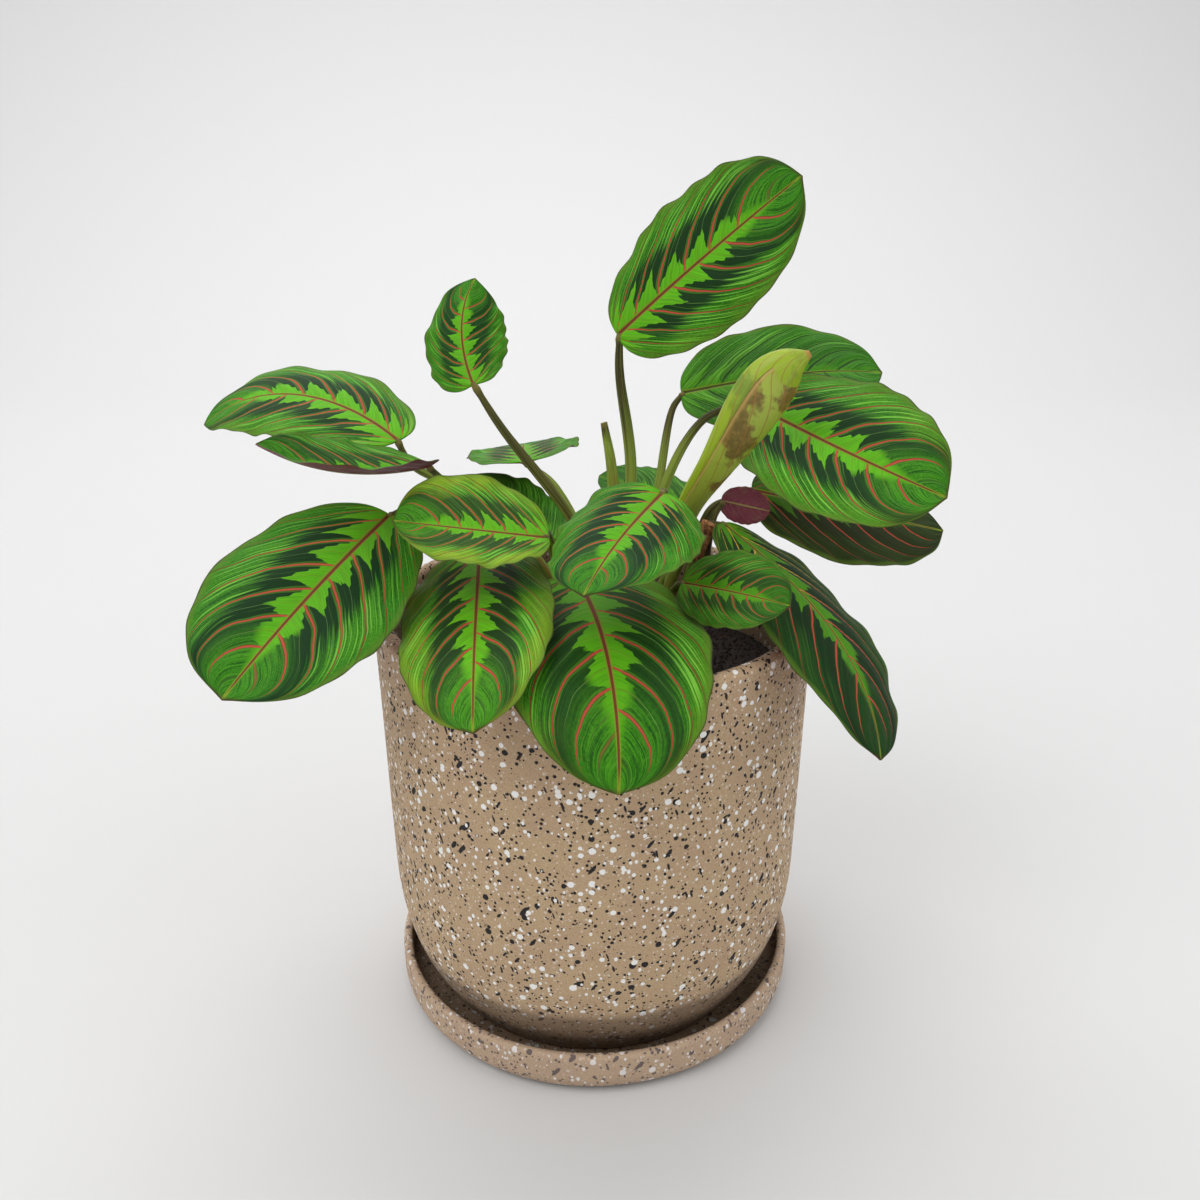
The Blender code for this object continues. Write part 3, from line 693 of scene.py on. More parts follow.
def stone_material(settings, name, is_pot):
    made, wires, shader = new_material(name)
    place = object_place(wires)
    stone = use_group(
        wires, "speckled_stone", Position=place, Stone=settings.stone, Light_Specks=settings.light_speck,
        Dark_Specks=settings.dark_speck, Speck_Size=settings.speck_size,
    )
    x, y, z = wires.split(place)
    from_axis = wires.math("SQRT", wires.add(wires.times(x, x), wires.times(y, y)))
    tone = stone["Colour"]
    damp = wires.noise(place, 30.0, 4.0, 0.6)
    if is_pot:
        low = wires.fall(wires.add(z, wires.times(wires.less(damp, 0.5), 0.03)), 0.018, 0.048)
        front = wires.step(wires.add(wires.times(y, -1.0), wires.times(x, 0.35)), 0.02, 0.09)
        tone = wires.mix(wires.times(low, front, 0.45), tone, (0.19, 0.085, 0.035))
        # Painted shade: the pot's inner wall is darkened from just under the rim downwards.
        inside = wires.fall(from_axis, 0.0925, 0.0950)
        deep = wires.times(inside, wires.fall(z, 0.180, 0.196), 0.6)
        tone = wires.mix(deep, tone, (0.075, 0.050, 0.036))
    else:
        # The inside of the saucer is darkened, partly a real wet stain and partly painted shade.
        inside = wires.fall(from_axis, 0.0935, 0.0950)
        wet_stain_and_shade = wires.times(inside, wires.add(0.70, wires.times(wires.less(damp, 0.5), 0.5)))
        tone = wires.mix(wires.times(wires.less(1.0, inside), 0.28), tone, (0.48, 0.36, 0.32))
        tone = wires.mix(wet_stain_and_shade, tone, (0.060, 0.032, 0.018))
    wires.feed(shader.inputs["Base Color"], tone)
    wires.feed(shader.inputs["Roughness"], stone["Roughness"])
    shader.inputs["Specular IOR Level"].default_value = 0.35
    set_bump(wires, shader, stone["Height"], 0.00022, 0.8)
    return made


def leaf_materials(settings):
    """The patterned upper side and the maroon lower side of the blades."""
    upper, wires, shader = new_material("leaf_upper_side")
    sheet = leaf_map(wires)
    tone = attribute(wires, "leaf_tone")["Vector"]
    drawn = use_group(
        wires, "leaf_markings", Leaf_Map=sheet, Tone=tone, Side_Veins=settings.veins, Green=settings.green,
        Lime=settings.lime, Blotch=settings.blotch, Streak=settings.streak, Vein=settings.vein,
        Midrib=settings.midrib,
    )
    wires.feed(shader.inputs["Base Color"], drawn["Colour"])
    rough = wires.add(0.46, wires.times(wires.noise(object_place(wires), 260.0, 3.0), 0.16))
    wires.feed(shader.inputs["Roughness"], rough)
    shader.inputs["Specular IOR Level"].default_value = 0.12
    set_bump(wires, shader, drawn["Height"], 0.0005, 0.75)

    lower, wires, shader = new_material("leaf_lower_side")
    sheet = leaf_map(wires)
    tone = attribute(wires, "leaf_tone")["Vector"]
    drawn = use_group(
        wires, "leaf_underside", Leaf_Map=sheet, Tone=tone, Side_Veins=settings.veins,
        Underside=settings.underside,
    )
    wires.feed(shader.inputs["Base Color"], drawn["Colour"])
    rough = wires.add(0.48, wires.times(wires.noise(object_place(wires), 260.0, 3.0), 0.16))
    wires.feed(shader.inputs["Roughness"], rough)
    set_bump(wires, shader, drawn["Height"], 0.0004, 0.8)
    return upper, lower


def stalk_material(settings):
    made, wires, shader = new_material("leaf_stalk")
    around = attribute(wires, "stalk_round")["Vector"]
    along = attribute(wires, "stalk_along")["Fac"]
    tone = attribute(wires, "stalk_tone")["Vector"]
    drawn = use_group(
        wires, "stalk_streaks", Round=around, Along=along, Tone=tone, Green=settings.green,
        Brown=settings.brown,
    )
    wires.feed(shader.inputs["Base Color"], drawn["Colour"])
    rough = wires.add(0.42, wires.times(drawn["Height"], 0.2))
    wires.feed(shader.inputs["Roughness"], rough)
    shader.inputs["Specular IOR Level"].default_value = 0.25
    set_bump(wires, shader, drawn["Height"], 0.0004, 0.6)
    return made


def dry_material(settings):
    made, wires, shader = new_material("dry_sheath")
    place = object_place(wires)
    fibres = wires.noise(wires.moved(place, (1, 1, 0.16)), 900.0, 4.0, 0.65)
    crumbs = wires.noise(place, 420.0, 4.0, 0.7)
    tone = wires.mix(wires.step(fibres, 0.35, 0.68), (0.11, 0.040, 0.016), settings.dry)
    tone = wires.mix(wires.times(wires.step(crumbs, 0.52, 0.70), 0.8), tone, (0.62, 0.36, 0.17))
    tone = wires.mix(wires.times(wires.fall(crumbs, 0.34, 0.44), 0.8), tone, (0.045, 0.022, 0.014))
    wires.feed(shader.inputs["Base Color"], tone)
    wires.feed(shader.inputs["Roughness"], wires.add(0.68, wires.times(crumbs, 0.25)))
    set_bump(wires, shader, wires.add(fibres, crumbs), 0.0008, 0.9)
    return made


def young_leaf_material(settings):
    made, wires, shader = new_material("young_leaf")
    place = object_place(wires)
    sheet = leaf_map(wires)
    along, across = wires.split(sheet)[:2]
    ribs = wires.noise(wires.vector(wires.times(along, 1.5), wires.times(across, 34.0), 3.0), 1.0, 3.0)
    patch = wires.noise(wires.moved(place, (1, 1, 0.8), (0.3, 0.1, 0.7)), 75.0, 4.0, 0.62)
    speckle = wires.noise(place, 420.0, 3.0, 0.6)
    flap = wires.step(across, 0.60, 0.64)
    veins = wires.math("PINGPONG", wires.add(wires.times(across, 15.0), wires.times(along, -7.0)), 0.5)
    veins = wires.times(wires.fall(veins, 0.03, 0.07), wires.step(along, 0.25, 0.45))
    tone = wires.mix(wires.times(wires.step(ribs, 0.40, 0.66), 0.45), settings.lime, (0.36, 0.46, 0.035))
    # Painted shade: dark green patches on the inner part of the roll, towards its open top.
    inside = wires.times(wires.step(patch, 0.47, 0.62), wires.step(along, 0.45, 0.65), 0.7)
    tone = wires.mix(wires.times(inside, wires.less(1.0, flap)), tone, (0.11, 0.20, 0.015))
    tone = wires.mix(flap, tone, settings.olive)
    tone = wires.mix(wires.times(wires.step(ribs, 0.50, 0.68), 0.4), tone, (0.40, 0.46, 0.08))
    old = wires.times(wires.step(along, 0.30, 0.46), wires.fall(along, 0.86, 0.98), 0.13)
    worn = wires.times(flap, wires.step(wires.add(patch, old), 0.57, 0.68))
    brown = wires.mix(wires.step(speckle, 0.4, 0.65), (0.13, 0.055, 0.014), (0.24, 0.12, 0.030))
    tone = wires.mix(wires.times(worn, 0.85), tone, brown)
    rusty = wires.times(wires.step(along, 0.78, 0.90), flap, 0.75)
    tone = wires.mix(rusty, tone, (0.32, 0.15, 0.035))
    tone = wires.mix(wires.times(veins, 0.6), tone, (0.36, 0.15, 0.030))
    tone = wires.mix(wires.times(wires.step(along, 0.965, 0.99), 0.8), tone, (0.50, 0.22, 0.05))
    tone = wires.mix(wires.times(wires.step(across, 0.975, 0.99), 0.7), tone, (0.52, 0.34, 0.09))
    tone = wires.mix(wires.times(wires.fall(along, 0.05, 0.34), 0.7), tone, (0.37, 0.46, 0.15))
    wires.feed(shader.inputs["Base Color"], tone)
    wires.feed(shader.inputs["Roughness"], wires.add(0.38, wires.times(patch, 0.2)))
    set_bump(wires, shader, wires.add(ribs, wires.times(speckle, 0.4)), 0.0006, 0.7)
    return made


def soil_materials(settings):
    soil, wires, shader = new_material("potting_soil")
    place = object_place(wires)
    clumps = wires.noise(place, 220.0, 5.0, 0.7)
    grit = wires.noise(place, 1400.0, 3.0, 0.7)
    tone = wires.mix(wires.step(clumps, 0.35, 0.65), (0.012, 0.008, 0.006), settings.soil)
    tone = wires.mix(wires.times(wires.step(grit, 0.60, 0.72), 0.6), tone, (0.12, 0.080, 0.050))
    wires.feed(shader.inputs["Base Color"], tone)
    wires.feed(shader.inputs["Roughness"], wires.add(0.80, wires.times(grit, 0.18)))
    set_bump(wires, shader, wires.add(clumps, wires.times(grit, 0.5)), 0.0012, 0.9)

    bark, wires, shader = new_material("bark_chips")
    place = object_place(wires)
    fibre = wires.noise(wires.moved(place, (1, 0.2, 1)), 1100.0, 4.0, 0.6)
    tone = wires.mix(wires.step(fibre, 0.35, 0.68), (0.050, 0.026, 0.015), settings.bark)
    wires.feed(shader.inputs["Base Color"], tone)
    wires.feed(shader.inputs["Roughness"], wires.add(0.70, wires.times(fibre, 0.25)))
    set_bump(wires, shader, fibre, 0.0006, 0.8)
    return soil, bark


# Shapes


def finish_piece(made, node):
    """Put a finished piece on the plant in place of the plain solid."""
    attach(made, "root")
    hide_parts(node)
    return made


def link_mesh(name, mesh, *materials):
    made = bpy.data.objects.new(name, mesh)
    for material in materials:
        made.data.materials.append(material)
    bpy.context.scene.collection.objects.link(made)
    return made


def close_mesh(shape, name):
    """Merge the seams of a bmesh, turn its faces outwards and write it to a smooth mesh."""
    bmesh.ops.remove_doubles(shape, verts=shape.verts, dist=0.000002)
    bmesh.ops.recalc_face_normals(shape, faces=shape.faces)
    if shape.calc_volume(signed=True) < 0:
        bmesh.ops.reverse_faces(shape, faces=shape.faces)
    mesh = bpy.data.meshes.new(name)
    shape.to_mesh(mesh)
    shape.free()
    mesh.shade_smooth()
    return mesh


def smooth_line(points, total):
    """Points read evenly from a Catmull-Rom curve through the given ones."""
    points = [Vector(point) for point in points]
    padded = [points[0] * 2 - points[1], *points, points[-1] * 2 - points[-2]]
    spans = len(points) - 1
    line = []
    for step in range(total):
        place = spans * step / (total - 1)
        span = min(int(place), spans - 1)
        t = place - span
        a, b, c, d = padded[span : span + 4]
        cubic = 3 * b - a - 3 * c + d
        line.append(0.5 * (2 * b + (c - a) * t + (2 * a - 5 * b + 4 * c - d) * t * t + cubic * t**3))
    return line


def arc(middle, radius, start, end, steps):
    """Points of an arc in the (radius, height) plane, angles in degrees."""
    angles = [math.radians(start + (end - start) * step / steps) for step in range(steps + 1)]
    return [(middle[0] + radius * math.cos(turn), middle[1] + radius * math.sin(turn)) for turn in angles]


def turned_mesh(name, outline, turns, rough=None):
    """Turn a closed outline of (radius, height) points in mm about the Z axis."""
    shape = bmesh.new()
    rings = []
    for step in range(turns):
        angle = 2 * math.pi * step / turns
        spoke = Vector((math.cos(angle), math.sin(angle), 0))
        ring = []
        for radius, height in outline:
            point = (spoke * radius + UP * height) * MM
            ring.append(shape.verts.new(point + rough(point) if rough else point))
        rings.append(ring)
    total = len(outline)
    for step in range(turns):
        here, there = rings[step], rings[(step + 1) % turns]
        for point in range(total):
            after = (point + 1) % total
            if outline[point][0] == 0 and outline[after][0] == 0:
                continue
            shape.faces.new([here[point], here[after], there[after], there[point]])
    return close_mesh(shape, name)


def pot_side(height):
    """Outer radius of the pot (mm) at a height above its own bottom."""
    if height >= POT_ROUND_HEIGHT:
        up = (height - POT_ROUND_HEIGHT) / (POT_TOP - POT_BOTTOM - POT_ROUND_HEIGHT)
        return POT_SHOULDER + (POT_RIM - POT_SHOULDER) * min(up, 1.0)
    left = 1 - height / POT_ROUND_HEIGHT
    return POT_SHOULDER - (POT_SHOULDER - POT_FOOT) * left**POT_ROUND_POWER


def hand_made(point):
    """Slight unevenness of a cast and hand-rubbed wall."""
    outward = Vector((point.x, point.y, 0))
    if outward.length < 0.06:
        return Vector((0, 0, 0))
    return outward.normalized() * noise.noise(point * 22) * WALL_UNEVENNESS * MM


def pot_outline():
    lip = POT_WALL / 2
    side_top = POT_TOP - POT_BOTTOM - lip
    heights = [0, 0.6, 1.6, 3, 5, 8, 11, 15, 20, 25, 32, 40, 49, 58, 67, 75, 90, 105, 120, 135, 150, 165, 178]
    outline = [(DRAIN_RADIUS, POT_BOTTOM), (POT_FOOT - 6, POT_BOTTOM)]
    outline += [(pot_side(height) - (1.2 if height == 0 else 0), POT_BOTTOM + height) for height in heights]
    outline += arc((POT_RIM - lip, POT_BOTTOM + side_top), lip, 0, 180, 14)
    for height in (178, 165, 150, 130, 110, 90, 75, 62, 50, 40, 32, 26, 20, 16, 13):
        outline.append((pot_side(height) - POT_WALL, POT_BOTTOM + height))
    outline.append((pot_side(POT_FLOOR) - POT_WALL - 6, POT_BOTTOM + POT_FLOOR))
    outline.append((DRAIN_RADIUS, POT_BOTTOM + POT_FLOOR))
    return outline


def saucer_outline():
    lip = SAUCER_WALL / 2
    rise = SAUCER_RADIUS - SAUCER_FOOT
    outline = [(0, 0), (SAUCER_FOOT - 20, 0), (SAUCER_FOOT, 0)]
    outline += arc((SAUCER_FOOT, rise), rise, -76, 0, 14)
    outline += arc((SAUCER_RADIUS - lip, SAUCER_HEIGHT - lip), lip, 0, 180, 12)
    inner, bend = SAUCER_RADIUS - SAUCER_WALL, 5
    outline += arc((inner - bend, SAUCER_FLOOR + bend), bend, 0, -90, 8)
    outline += [(80, SAUCER_FLOOR), (60, SAUCER_FLOOR), (0, SAUCER_FLOOR)]
    return outline


def soil_outline():
    bottom = POT_BOTTOM + POT_FLOOR + SOIL_CLEARANCE
    shrink = POT_WALL + SOIL_CLEARANCE + TURNED_SLACK
    outline = [(0, bottom), (pot_side(POT_FLOOR) - POT_WALL - 8, bottom)]
    for height in (13, 20, 32, 50, 75, 130):
        outline.append((pot_side(height) - shrink, POT_BOTTOM + height))
    edge = SOIL_TOP - SOIL_FALL
    outline.append((pot_side(edge - POT_BOTTOM) - shrink, edge))
    for step in range(1, SOIL_STEPS):
        radius = 89 * (1 - step / SOIL_STEPS)
        sunk = max(0.0, (radius - 45) / 45) * SOIL_FALL
        outline.append((radius, SOIL_TOP - sunk))
    outline.append((0, SOIL_TOP))
    return outline


def clods(point):
    """Lumps and hollows of the soil's surface."""
    if point.z < 0.150:
        return Vector((0, 0, 0))
    return UP * ((noise.noise(point * 120) * 1.1 + noise.noise(point * 420) * 0.55) * MM - 0.6 * MM)


# Soil crumbs: geometry nodes that scatter small stones over the surface


def crumb_tree():
    """Geometry nodes: scatter crumbs and bark chips over the upward faces of the soil."""
    tree = bpy.data.node_groups.new("soil_crumbs", "GeometryNodeTree")
    face = tree.interface
    face.new_socket("Geometry", in_out="INPUT", socket_type="NodeSocketGeometry")
    for label, kind, value in (
        ("Crumb Size", "Float", 0.002), ("Density", "Float", 100000.0), ("Chip Size", "Float", 0.005),
        ("Chip Density", "Float", 2500.0), ("Highest Slope", "Float", 0.7), ("Seed", "Int", 1),
    ):
        face.new_socket(label, in_out="INPUT", socket_type="NodeSocket" + kind).default_value = value
    for label in ("Soil", "Bark"):
        face.new_socket(label, in_out="INPUT", socket_type="NodeSocketMaterial")
    face.new_socket("Geometry", in_out="OUTPUT", socket_type="NodeSocketGeometry")
    nodes, links = tree.nodes, tree.links
    enter, leave = nodes.new("NodeGroupInput"), nodes.new("NodeGroupOutput")

    def node(kind, **settings):
        made = nodes.new(kind)
        for name, value in settings.items():
            setattr(made, name, value)
        made.location = (220 * (len(nodes) // 4), -240 * (len(nodes) % 4))
        return made

    def number(operation, first, second):
        made = node("ShaderNodeMath", operation=operation)
        for socket, value in zip(made.inputs, (first, second)):
            if isinstance(value, bpy.types.NodeSocket):
                links.new(value, socket)
            else:
                socket.default_value = value
        return made.outputs[0]

    normal = node("GeometryNodeInputNormal")
    slope = node("ShaderNodeSeparateXYZ")
    links.new(normal.outputs[0], slope.inputs[0])
    upward = number("GREATER_THAN", slope.outputs[2], enter.outputs["Highest Slope"])
    join = node("GeometryNodeJoinGeometry")
    ground = node("GeometryNodeSetMaterial")
    links.new(enter.outputs["Geometry"], ground.inputs["Geometry"])
    links.new(enter.outputs["Soil"], ground.inputs["Material"])

    def scatter(stone, size, density, offset, low, high, material):
        spots = node("GeometryNodeDistributePointsOnFaces")
        links.new(enter.outputs["Geometry"], spots.inputs["Mesh"])
        links.new(upward, spots.inputs["Selection"])
        links.new(density, spots.inputs["Density"])
        links.new(number("ADD", enter.outputs["Seed"], offset), spots.inputs["Seed"])
        turn = node("FunctionNodeRandomValue", data_type="FLOAT_VECTOR")
        turn.inputs[1].default_value = (6.28, 6.28, 6.28)
        grow = node("FunctionNodeRandomValue", data_type="FLOAT_VECTOR")
        grow.inputs[0].default_value, grow.inputs[1].default_value = low, high
        scaled = node("ShaderNodeVectorMath", operation="SCALE")
        links.new(grow.outputs[0], scaled.inputs[0])
        links.new(size, scaled.inputs["Scale"])
        place = node("GeometryNodeInstanceOnPoints")
        links.new(spots.outputs["Points"], place.inputs["Points"])
        links.new(stone, place.inputs["Instance"])
        links.new(turn.outputs[0], place.inputs["Rotation"])
        links.new(scaled.outputs[0], place.inputs["Scale"])
        real = node("GeometryNodeRealizeInstances")
        links.new(place.outputs[0], real.inputs[0])
        paint = node("GeometryNodeSetMaterial")
        links.new(real.outputs[0], paint.inputs["Geometry"])
        links.new(material, paint.inputs["Material"])
        return paint.outputs[0]

    crumb = node("GeometryNodeMeshIcoSphere")
    crumb.inputs["Subdivisions"].default_value = 1
    crumb.inputs["Radius"].default_value = 0.5
    chip = node("GeometryNodeMeshCube")
    chip.inputs["Size"].default_value = (1.0, 0.55, 0.22)
    crumbs = scatter(
        crumb.outputs[0], enter.outputs["Crumb Size"], enter.outputs["Density"], 0,
        (0.25, 0.25, 0.2), (1.25, 1.1, 0.9), enter.outputs["Soil"],
    )
    chips = scatter(
        chip.outputs[0], enter.outputs["Chip Size"], enter.outputs["Chip Density"], 11,
        (0.35, 0.35, 0.35), (1.1, 1.0, 1.0), enter.outputs["Bark"],
    )
    for part in (ground.outputs[0], crumbs, chips):
        links.new(part, join.inputs[0])
    links.new(join.outputs[0], leave.inputs[0])
    return tree


def set_inputs(modifier, **values):
    """Give a geometry nodes modifier its inputs by the identifier of each named socket."""
    for item in modifier.node_group.interface.items_tree:
        if item.item_type == "SOCKET" and item.in_out == "INPUT" and item.name.replace(" ", "_") in values:
            modifier[item.identifier] = values[item.name.replace(" ", "_")]


def settle(made):
    """Replace an object's mesh by what its modifiers make of it."""
    bpy.context.view_layer.update()
    graph = bpy.context.evaluated_depsgraph_get()
    seen = made.evaluated_get(graph)
    mesh = bpy.data.meshes.new_from_object(seen, preserve_all_data_layers=True, depsgraph=graph)
    if not mesh.polygons:
        raise RuntimeError(made.name + " came out empty")
    made.modifiers.clear()
    old, made.data = made.data, mesh
    mesh.name = made.name
    bpy.data.meshes.remove(old)
    return made


# Stalks: geometry nodes that sweep a ring along a stalk's middle line


def stalk_tree():
    """Geometry nodes: a closed tube along a line whose points hold their own thickness."""
    tree = bpy.data.node_groups.new("stalk_tube", "GeometryNodeTree")
    face = tree.interface
    face.new_socket("Geometry", in_out="INPUT", socket_type="NodeSocketGeometry")
    face.new_socket("Sides", in_out="INPUT", socket_type="NodeSocketInt").default_value = 16
    face.new_socket("Flatness", in_out="INPUT", socket_type="NodeSocketFloat").default_value = 1.0
    face.new_socket("Finish", in_out="INPUT", socket_type="NodeSocketMaterial")
    face.new_socket("Geometry", in_out="OUTPUT", socket_type="NodeSocketGeometry")
    nodes, links = tree.nodes, tree.links
    enter, leave = nodes.new("NodeGroupInput"), nodes.new("NodeGroupOutput")
    rail = nodes.new("GeometryNodeMeshToCurve")
    level = nodes.new("GeometryNodeSetCurveNormal")
    ring = nodes.new("GeometryNodeCurvePrimitiveCircle")
    ring.inputs["Radius"].default_value = 1.0
    place = nodes.new("GeometryNodeInputPosition")
    remember = nodes.new("GeometryNodeStoreNamedAttribute")
    remember.data_type, remember.domain = "FLOAT_VECTOR", "POINT"
    remember.inputs["Name"].default_value = "stalk_round"
    squash = nodes.new("GeometryNodeTransform")
    shape = nodes.new("ShaderNodeCombineXYZ")
    shape.inputs[1].default_value = shape.inputs[2].default_value = 1.0
    read = nodes.new("GeometryNodeInputNamedAttribute")
    read.data_type = "FLOAT"
    read.inputs["Name"].default_value = "stalk_thickness"
    sweep = nodes.new("GeometryNodeCurveToMesh")
    sweep.inputs["Fill Caps"].default_value = True
    real = nodes.new("GeometryNodeRealizeInstances")
    paint = nodes.new("GeometryNodeSetMaterial")
    links.new(enter.outputs["Geometry"], rail.inputs[0])
    links.new(rail.outputs[0], level.inputs[0])
    links.new(enter.outputs["Sides"], ring.inputs["Resolution"])
    links.new(ring.outputs[0], remember.inputs["Geometry"])
    links.new(place.outputs[0], remember.inputs["Value"])
    links.new(remember.outputs[0], squash.inputs[0])
    links.new(enter.outputs["Flatness"], shape.inputs[0])
    links.new(shape.outputs[0], squash.inputs["Scale"])
    links.new(level.outputs[0], sweep.inputs["Curve"])
    links.new(squash.outputs[0], sweep.inputs["Profile Curve"])
    links.new(read.outputs["Attribute"], sweep.inputs["Scale"])
    links.new(sweep.outputs[0], real.inputs[0])
    links.new(real.outputs[0], paint.inputs["Geometry"])
    links.new(enter.outputs["Finish"], paint.inputs["Material"])
    links.new(paint.outputs[0], leave.inputs[0])
    for step, node in enumerate(nodes):
        node.location = (200 * (step // 3), -220 * (step % 3))
    return tree


def tube(name, line, radii, tone, finish, sides, flatness=1.0):
    """A tube with its own map of round and along, made from a line of points in mm."""
    mesh = bpy.data.meshes.new(name)
    mesh.from_pydata([point * MM for point in line], [(i, i + 1) for i in range(len(line) - 1)], [])
    thickness = mesh.attributes.new("stalk_thickness", "FLOAT", "POINT")
    along = mesh.attributes.new("stalk_along", "FLOAT", "POINT")
    toned = mesh.attributes.new("stalk_tone", "FLOAT_VECTOR", "POINT")
    for place, radius in enumerate(radii):
        thickness.data[place].value = radius * MM
        along.data[place].value = place / (len(line) - 1)
        toned.data[place].vector = tone
    made = link_mesh(name, mesh, finish)
    modifier = made.modifiers.new("Tube", "NODES")
    modifier.node_group = bpy.data.node_groups.get("stalk_tube") or stalk_tree()
    set_inputs(modifier, Sides=sides, Flatness=flatness, Finish=finish)
    settle(made)
    made.data.shade_smooth()
    return made


# Leaves


def half_width(along, width):
    """Half the blade's width at a fraction of its length: full at the base, rounder at the tip."""
    return 0.5 * width * max(math.sin(math.pi * along**BLADE_FULLEST), 0.0) ** BLADE_BLUNTNESS


def blade_frames(blade, total):
    """Points along the midrib with the directions right, up and forward at each."""
    heading, pitch = math.radians(blade.heading), math.radians(blade.pitch)
    forward = Vector(
        (math.sin(heading) * math.cos(pitch), math.cos(heading) * math.cos(pitch), math.sin(pitch))
    )
    right = Vector((math.cos(heading), -math.sin(heading), 0))
    up = right.cross(forward)
    lean = Matrix.Rotation(math.radians(blade.roll), 3, forward)
    right, up = lean @ right, lean @ up
    place = Vector(blade.joint) * MM
    frames = [(place.copy(), right, up, forward)]
    steps = total - 1
    for step in range(steps):
        part = ((step + 1) ** 2 - step**2) / steps**2
        dip = Matrix.Rotation(-math.radians(blade.droop) * part, 3, right)
        forward, up = dip @ forward, dip @ up
        veer = Matrix.Rotation(-math.radians(blade.swing) / steps, 3, up)
        forward, right = veer @ forward, veer @ right
        turned = Matrix.Rotation(math.radians(blade.twist) / steps, 3, forward)
        right, up = turned @ right, turned @ up
        place = place + forward * (blade.length * MM / steps)
        frames.append((place.copy(), right, up, forward))
    return frames


def frame_at(frames, along):
    """The frame at a fraction of the midrib, read between two stored ones."""
    place = along * (len(frames) - 1)
    index = min(int(place), len(frames) - 2)
    part = place - index
    return tuple(a.lerp(b, part) for a, b in zip(frames[index], frames[index + 1]))


def blade_surface(blade, frames, along, lane, settings, start):
    """Upper and lower points of the blade; lane runs from -1 (left edge) to 1 (right edge)."""
    place, right, up, forward = frame_at(frames, along)
    width, edge = blade.width * MM, abs(lane)
    reach = edge * half_width(along, width)
    fold = math.radians(blade.fold_left if lane < 0 else blade.fold_right)
    curl = math.radians(blade.curl_left if lane < 0 else blade.curl_right)
    bend = (curl if abs(curl) > 0.001 else 0.001) / (0.5 * width)
    across = (math.sin(fold + bend * reach) - math.sin(fold)) / bend
    lift = (math.cos(fold) - math.cos(fold + bend * reach)) / bend
    forwards = -BASE_LOBES * blade.length * MM * (1 - along) ** 6 * 2 * reach / width
    close = max(0.0, 1 - reach / (0.16 * width))
    forwards += TIP_POINT * blade.length * MM * along**14 * close**2
    side = math.copysign(1, lane)
    lean = fold + bend * reach
    outward = right * side * math.cos(lean) + up * math.sin(lean)
    normal = up * math.cos(lean) - right * side * math.sin(lean)
    point = place + right * math.copysign(across, lane) + up * lift + forward * forwards

    arch = VEIN_SLANT * edge + VEIN_BEND * edge**VEIN_BEND_POWER
    beat = (along - arch) * settings.veins + (0.5 if lane > 0 else 0.0) + start
    swell = settings.quilting * (abs(math.sin(math.pi * beat)) - 0.45) * min(edge * 5, 1) * (1 - edge**3)
    wave = math.sin(along * 17 + start * 9 + side * 1.3) + 0.5 * math.sin(along * 39 + start * 31 - side)
    ripple = settings.waviness * wave * edge**4 * min(1, 6 * along, 6 * (1 - along))
    scallop = 0.35 * MM * math.sin(math.pi * 2 * beat) * edge**10
    groove = -0.35 * MM * math.exp(-((reach / (1.1 * MM)) ** 2)) * (1 - along) ** 0.3
    fade = min(1.0, blade.width / 50)
    point = point + normal * (swell + ripple) * fade + outward * scallop * fade
    half = 0.5 * settings.thickness * (1 - edge**10)
    keel = (0.75 * MM * (1 - along) ** 0.7 + 0.12 * MM) * math.exp(-((reach / (0.95 * MM)) ** 2)) * fade
    return point + normal * (half + groove * fade), point - normal * (half + keel)


def lay_faces(shape, sheet, grid, two_sided):
    """Join a grid of (upper point, lower point, map place) into the two skins of a sheet."""
    for here, there in zip(grid, grid[1:]):
        for step in range(len(here) - 1):
            corners = [here[step], here[step + 1], there[step + 1], there[step]]
            for side in (0, 1):
                used = corners if side == 0 else corners[::-1]
                face = shape.faces.new([corner[side] for corner in used])
                face.material_index = side if two_sided else 0
                for loop, corner in zip(face.loops, used):
                    loop[sheet].uv = corner[2]


def make_leaf(place, settings, materials):
    """A leaf blade: patterned above, maroon below, quilted between its side veins."""
    blade, finish = BLADES[place], FINISHES[place]
    small = blade.length < 40
    rows, lanes = (settings.rows // 2 if small else settings.rows), settings.lanes
    frames = blade_frames(blade, 97)
    shape = bmesh.new()
    sheet = shape.loops.layers.uv.new("LeafMap")
    steps = [math.sin(0.5 * math.pi * lane / lanes) for lane in range(-lanes, lanes + 1)]
    grid = []
    for row in range(rows + 1):
        along = 0.5 - 0.5 * math.cos(math.pi * row / rows)
        line = []
        for lane in steps:
            upper, lower = blade_surface(blade, frames, along, lane, settings, finish.start)
            line.append((shape.verts.new(upper), shape.verts.new(lower), (along, 0.5 + 0.5 * lane)))
        grid.append(line)
    lay_faces(shape, sheet, grid, True)
    mesh = close_mesh(shape, place + "_leaf_blade")
    tone = mesh.attributes.new("leaf_tone", "FLOAT_VECTOR", "POINT")
    tone.data.foreach_set("vector", [finish.marking, finish.age, finish.start] * len(mesh.vertices))
    made = link_mesh(place + "_leaf_blade", mesh, *materials)
    return finish_piece(made, place + "_leaf")


